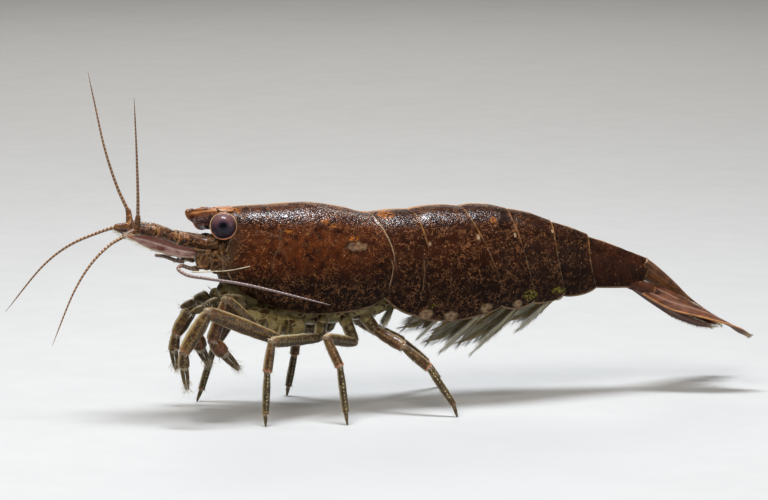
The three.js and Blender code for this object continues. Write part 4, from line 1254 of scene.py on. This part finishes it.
def build_tail(material, telson_material, hairs):
    """The telson and the two pairs of tail blades on their stems, fringed round their ends."""
    shape = Shape()
    width = end_taper(lambda u: lerp(0.6, 0.28, u) * (1 - 0.12 * np.sin(math.pi * u)), 0.9, 0.5)
    fin = blade(shape, TELSON, width, ACROSS, thickness=(0.5, 0.07), keel=0.03, tip_from=0.95, curl=0.4)
    fringe(hairs, fin, start=0.92, length=0.22, spacing=0.016, cell=TELSON_CELL)
    piece("telson_blade", shape, telson_material, "tail_fan", "telson")
    for name, side in SIDES.items():
        across = (0, side * 0.74, -0.67)
        shape = Shape()
        v = np.linspace(0, 1, 41)
        ends = rounded(v, 1.8, 0.5) * lerp(1.0, 0.72, v**3)
        tube(shape, smooth_path(mirrored(side, TAIL_STEM), 40), lerp(0.22, 0.28, v) * ends,
             lerp(0.3, 0.35, v) * ends, 24, lane=-0.9, stem=1.0, edge=stem_bands)
        width = end_taper(swell(0.16, 0.56, 0.06, 0.86), 0.86, 0.4)
        fin = blade(shape, mirrored(side, OUTER_BLADE), width, across, thickness=(0.055, 0.055), keel=0.05,
                    tip_from=0.9, count=60, edge_side=1, twist=side * OUTER_TWIST)
        cell = OUTER_BLADE_CELL + (side > 0)
        fringe(hairs, fin, start=0.86, length=0.2, spacing=0.012, cell=cell)
        fringe(hairs, fin, start=0.35, length=0.2, spacing=0.03, cell=cell, margins=(-1,),
               radius=FINE_FRINGE_HAIR)
        piece(f"tail_outer_{name}_blade", shape, material, "tail_fan", f"tail_outer_{name}")
        shape = Shape()
        width = end_taper(swell(0.12, 0.44, 0.06, 0.9), 0.84, 0.4)
        fin = blade(shape, mirrored(side, INNER_BLADES[name]), width, across, thickness=(0.045, 0.045),
                    keel=0.045, tip_from=0.9, count=50)
        fringe(hairs, fin, start=0.4, length=0.26, spacing=0.018, cell=INNER_BLADE_CELL + (side > 0))
        piece(f"tail_inner_{name}_blade", shape, material, "tail_fan", f"tail_inner_{name}")


# ---------------------------------------- flesh
FLESH_VOXEL = 0.045
# Pale seams on the cheek and the roots of the feelers, as x, z places.
CHEEK_LINES = [
    [(-9.85, 8.75), (-9.5, 8.45), (-9.2, 8.28), (-8.6, 8.45)], [(-9.55, 8.0), (-9.0, 8.05), (-8.6, 8.25)],
    [(-9.45, 7.95), (-9.6, 7.6), (-9.4, 7.3), (-9.0, 7.15)], [(-9.05, 7.95), (-8.95, 7.5), (-9.0, 7.1)],
    [(-8.85, 8.2), (-8.65, 7.85), (-8.4, 7.6)], [(-8.45, 8.3), (-8.42, 7.2)],
]
FLESH_NODES = ["head", "mouthparts", "thorax", "antenna_base_left", "antenna_base_right"]


def tapered(start, end, bulge=0.0, power=1.0):
    """A log's half width or depth, from start to end of it, with a bulge between."""
    return lambda u: lerp(start, end, u) + bulge * np.sin(math.pi * u) ** power


# The logs that the flesh is lumped from: path, half width and half depth as tapers, and sides.
HEAD = ([(-7.6, 0, 7.8), (-8.7, 0, 7.92), (-9.38, 0, 8.16)], (0.95, 0.66),
        lambda u: lerp(1.0, 0.5, u * u), 24)
MOUTH = [
    ([(-7.1, 0, 5.6), (-7.6, 0, 6.3), (-7.9, 0, 7.4)], (0.55, 0.55), (0.5, 0.5), 24),
    ([(-6.3, 0, 5.3), (-7.1, 0, 5.7), (-7.7, 0, 5.95), (-8.3, 0, 6.1)], (0.55, 0.4), (0.5, 0.3), 24),
]
JAW = ([(-7.3, 0.42, 5.5), (-7.9, 0.5, 5.75), (-8.4, 0.45, 5.95)], (0.24, 0.16), (0.3, 0.16), 16)
CHEEK = ([(-7.9, 1.05, 7.5), (-8.5, 1.2, 7.55), (-8.98, 1.24, 7.62)], (0.32, 0.32), (0.58, 0.6), 18)
ANTENNA_BASE = [  # with its upper and lower spine
    ([(-8.85, 1.2, 7.6), (-9.3, 1.24, 7.68), (-9.68, 1.25, 7.8)], (0.29, 0.29), (0.54, 0.34), 18),
    ([(-9.0, 1.4, 8.0), (-9.5, 1.42, 8.12), (-9.95, 1.4, 8.3)], (0.16, 0.05), (0.2, 0.05), 12),
    ([(-9.1, 1.42, 7.45), (-9.5, 1.46, 7.38), (-9.85, 1.44, 7.42)], (0.14, 0.05), (0.18, 0.05), 12),
]
UNDER_EYE = ([(-8.0, 0.85, 8.1), (-8.5, 0.85, 8.35), (-9.0, 0.7, 8.42)], (0.28, 0.28), (0.34, 0.22), 16)
TRUNK = ([(-6.95, 0, 4.95), (-5.0, 0, 4.85), (-2.8, 0, 4.8), (-0.8, 0, 4.95), (0.3, 0, 5.2)],
         (0.66, 0.86, 0.32, 0.6), (0.4, 0.4, 0.26, 0.6), 28)
# The crowded roots of the front limbs.
LIMB_ROOTS = ([(-7.8, 0.55, 5.3), (-7.2, 0.8, 4.75), (-6.3, 0.95, 4.4), (-5.2, 0.95, 4.2), (-4.2, 0.85, 4.3)],
              (0.34, 0.34), (0.38, 0.38, 0.2), 20)


def log(lump, side, path, wide, deep, sides, count=24):
    centres = smooth_path(mirrored(side, path), count)
    u = np.linspace(0, 1, count + 1)
    half_width, half_depth = (half if callable(half) else tapered(*half) for half in (wide, deep))
    scale = rounded(u, run_along(centres)[-1], min(half_width(u).min(), 0.3))
    tube(lump, centres, half_width(u) * scale, half_depth(u) * scale, sides)


def remeshed(shape, name):
    """One smooth skin round everything in the shape: its points, normals and faces, in millimetres."""
    lump = bpy.data.objects.new(name, shape.mesh(name, scale=1.0))
    bpy.context.scene.collection.objects.link(lump)
    remesh = lump.modifiers.new("one_skin", "REMESH")
    remesh.mode = "VOXEL"
    remesh.voxel_size = FLESH_VOXEL
    soften = lump.modifiers.new("soften", "SMOOTH")
    soften.factor = 0.5
    soften.iterations = 3
    done = lump.evaluated_get(bpy.context.evaluated_depsgraph_get()).to_mesh()
    found = np.empty((2, len(done.vertices) * 3))
    for row, quantity in zip(found, ("co", "normal")):
        done.vertices.foreach_get(quantity, row)
    faces = [tuple(polygon.vertices) for polygon in done.polygons]
    bpy.data.objects.remove(lump)
    return *found.reshape(2, -1, 3), faces


def build_flesh(material):
    """Head, mouth, trunk underside and antenna bases in one skin, with the hips that the limbs grow from."""
    lump = Shape()
    for form in (HEAD, *MOUTH):
        log(lump, 1, *form)
    for side in SIDES.values():
        for form in (JAW, CHEEK, *ANTENNA_BASE, UNDER_EYE):
            log(lump, side, *form)
    log(lump, 1, *TRUNK, count=44)
    for side in SIDES.values():
        log(lump, side, *LIMB_ROOTS)
    for joints in LEGS.values():
        hip, basis = np.array(joints[:2])
        path = [hip + [0.05, -0.35, 0.25], hip, lerp(hip, basis, 0.45)]
        for side in SIDES.values():
            log(lump, side, path, (0.3, 0.26), (0.34, 0.3), 16, count=12)
    points, normals, faces = remeshed(lump, "flesh_lump")

    x, y, z = points.T
    folds = 0.012 * np.sin(x * 2 * math.pi / 0.55 + 1.2 * ripple(points, 1.0, 31)) * smoothstep(5.6, 5.2, z)
    points = points + normals * (folds + 0.006 * ripple(points, 0.35, 32))[:, None]
    rear_rim, front_rim = bell(x + 8.93 - 0.25 * (z - 7.6), 0.035), bell(x + 9.55 + 0.2 * (z - 7.7), 0.04)
    rims = 0.3 * np.maximum(rear_rim, front_rim) * (np.abs(y) > 0.85)
    rims = np.maximum(rims, bell(line_distance(points, CHEEK_LINES), 0.035) * (np.abs(y) > 0.5))
    brown = smoothstep(6.9, 7.5, z + 0.25 * ripple(points, 0.7, 33) + smoothstep(-7.2, -7.6, x))
    skin = Shape()
    skin.add(points, faces, patches=smoothstep(6.3, 5.9, z), brown=brown, pale=0.8 * rims)
    piece("flesh_skin", skin, material, "flesh", *FLESH_NODES)


MAXILLIPED = [(-7.1, 0.95, 5.4), (-8.4, 0.95, 5.62), (-9.15, 0.92, 5.36), (-9.85, 0.85, 5.12)]
MAXILLIPED_SIZES = ((0.34, 0.44, 0.33), (0.28, 0.31, 0.22), (0.17, 0.18, 0.08))
WHIP = [(-10.0, 1.55, 7.2), (-9.28, 1.7, 7.2), (-8.4, 1.95, 7.24), (-7.8, 2.14, 7.34), (-7.3, 2.2, 7.44)]


def build_maxillipeds(material, hairs):
    """The foremost mouth limbs: three short segments with a hairy tip, and a thin whip above."""
    for name, side in SIDES.items():
        joints = np.array(mirrored(side, MAXILLIPED))
        shape = Shape()
        for start, end, sizes in zip(joints, joints[1:], MAXILLIPED_SIZES):
            segment(shape, start, end, sizes, tone=0.1, tip=lambda u, angle: 0.4 * smoothstep(0.9, 1, u))
            bristle(hairs, start, end, sizes, 0.9, MAXILLIPED_CELL + (side > 0), 9, CLAW_CROWN)
        u = np.linspace(0, 1, 61)
        thick = lerp(0.035, 0.02, u) * rounded(u, 3.0, 0.04)
        tube(shape, smooth_path(mirrored(side, WHIP), 60), thick, thick, 8, tip=0.9)
        piece(f"maxilliped_{name}_limb", shape, material, "leg", f"maxilliped_{name}")


# ---------------------------------------- stage
AZIMUTH, ELEVATION = math.radians(-18), math.radians(9)  # from in front of the left side
TARGET = (0, 0, 7.52)  # the place in the middle of the picture
DISTANCE = 260  # from the camera to there
IMAGE_WIDTH = 768  # pixels
PIXELS_PER_MM = 21  # at that distance
SENSOR = 36
FLOOR_HALF = 2500
# Each light's place, what it points at, its width, height, power and colour.
LIGHTS = {
    "overhead": ((-5, -6, 130), (-1, 0, 8), 66, 24, 0.33, (0.88, 0.93, 1.0)),
    "key": ((-120, -135, 180), (-1, 0, 6), 110, 80, 0.5, (1.0, 0.97, 0.93)),
    "fill": ((160, -130, 50), (0, 0, 6), 120, 100, 0.08, (1.0, 1.0, 1.0)),
    "behind": ((40, 160, 90), (0, 0, 8), 110, 60, 0.1, (1.0, 0.95, 0.88)),
}
NO_GLINT = "key"  # its reflection would cover the eye's dark spot


def placed(name, data, at, way):
    """Puts a camera or a light in the scene, pointing along way."""
    shown = bpy.data.objects.new(name, data)
    shown.location = at
    shown.rotation_mode = "QUATERNION"
    shown.rotation_quaternion = way.to_track_quat("-Z", "Y")
    bpy.context.scene.collection.objects.link(shown)
    return shown


def build_camera():
    camera = bpy.data.cameras.new("camera")
    camera.sensor_width = SENSOR
    camera.lens = SENSOR * DISTANCE / (IMAGE_WIDTH / PIXELS_PER_MM)
    camera.clip_start = 0.01
    camera.clip_end = 20
    level = math.cos(ELEVATION)
    back = Vector((math.sin(AZIMUTH) * level, -math.cos(AZIMUTH) * level, math.sin(ELEVATION)))
    shown = placed("camera", camera, Vector(TARGET) * MM + back * DISTANCE * MM, -back)
    bpy.context.scene.camera = shown


def build_stage():
    world = bpy.data.worlds.new("studio")
    world.use_nodes = True
    background = world.node_tree.nodes["Background"]
    background.inputs["Color"].default_value = (0.86, 0.87, 0.88, 1)
    background.inputs["Strength"].default_value = 0.22
    bpy.context.scene.world = world
    bpy.context.scene.view_settings.view_transform = "Standard"

    shape = Shape()
    corners = [(x * FLOOR_HALF, y * FLOOR_HALF, 0) for x, y in ((-1, -1), (1, -1), (1, 1), (-1, 1))]
    shape.add(corners, [(0, 1, 2, 3)])
    mesh = shape.mesh("floor")
    mesh.materials.append(paper_material())
    floor = bpy.data.objects.new("floor", mesh)
    bpy.context.scene.collection.objects.link(floor)

    for name, (at, aim, width, height, power, colour) in LIGHTS.items():
        light = bpy.data.lights.new(name, "AREA")
        light.shape = "RECTANGLE"
        light.size = width * MM
        light.size_y = height * MM
        light.energy = power
        light.color = colour
        shown = placed(name, light, Vector(at) * MM, Vector(aim) - Vector(at))
        shown.visible_glossy = name != NO_GLINT


# ---------------------------------------- the whole animal
def build_shrimp():
    shell = shell_material()
    for index in range(len(PLATES)):
        build_plate(index, shell)
    build_eyes(eye_material(), rim_material())
    build_rostrum(rostrum_material())
    build_flesh(flesh_material())

    leg = limb_material("leg", (0.033, 0.022, 0.0092), (0.102, 0.07, 0.026), (0.30, 0.245, 0.145),
                        (0.38, 0.145, 0.075))
    claw = limb_material("claw", (0.036, 0.022, 0.008), (0.102, 0.068, 0.0195), (0.30, 0.235, 0.12),
                         (0.32, 0.12, 0.055))
    leg_hairs, claw_hairs, feeler_hairs, swimmeret_hairs, tail_hairs = (Hairs(seed) for seed in range(41, 46))
    for cell, name in enumerate(LEGS):
        is_claw = name.startswith("claw")
        build_limb(name, claw if is_claw else leg, claw_hairs if is_claw else leg_hairs, cell)
    build_maxillipeds(leg, leg_hairs)
    build_stems(stem_material(), feeler_hairs)
    build_lashes(lash_material())

    # The antennal scale's inner, upper half is darkened by painted shade.
    scale = blade_material("antennal_scale", (0.04, 0.0105, 0.006), (0.12, 0.07, 0.055), (0.18, 0.135, 0.095),
                           (0.23, 0.16, 0.13), (0.16, 0.055, 0.016), painted_shade=0.85)
    build_scales(scale, feeler_hairs)
    swimmeret = blade_material("swimmeret", (0.16, 0.14, 0.085), (0.30, 0.27, 0.18), (0.42, 0.40, 0.32),
                               (0.46, 0.44, 0.35), (0.36, 0.34, 0.26), clear=0.4)
    build_swimmerets(swimmeret, swimmeret_hairs)
    fan = blade_material("tail_fan", (0.036, 0.011, 0.0055), (0.09, 0.0285, 0.0115), (0.33, 0.15, 0.055),
                         (0.21, 0.12, 0.085), (0.36, 0.26, 0.16))
    telson = blade_material("telson", (0.05, 0.018, 0.007), (0.135, 0.052, 0.015), (0.33, 0.15, 0.055),
                            (0.20, 0.10, 0.05), (0.36, 0.26, 0.16))
    build_tail(fan, telson, tail_hairs)

    tan = hair_material("hair_tan", (0.26, 0.19, 0.11), (0.50, 0.44, 0.33))
    grey = hair_material("hair_grey", (0.30, 0.28, 0.21), (0.52, 0.50, 0.43))
    piece("leg_hairs", leg_hairs, tan, "leg")
    piece("claw_hairs", claw_hairs, tan, "claw")
    piece("feeler_hairs", feeler_hairs, tan, "feeler")
    piece("swimmeret_hairs", swimmeret_hairs, grey, "swimmeret")
    piece("tail_hairs", tail_hairs, tan, "tail_fan")


build_camera()
build_stage()
build_shrimp()
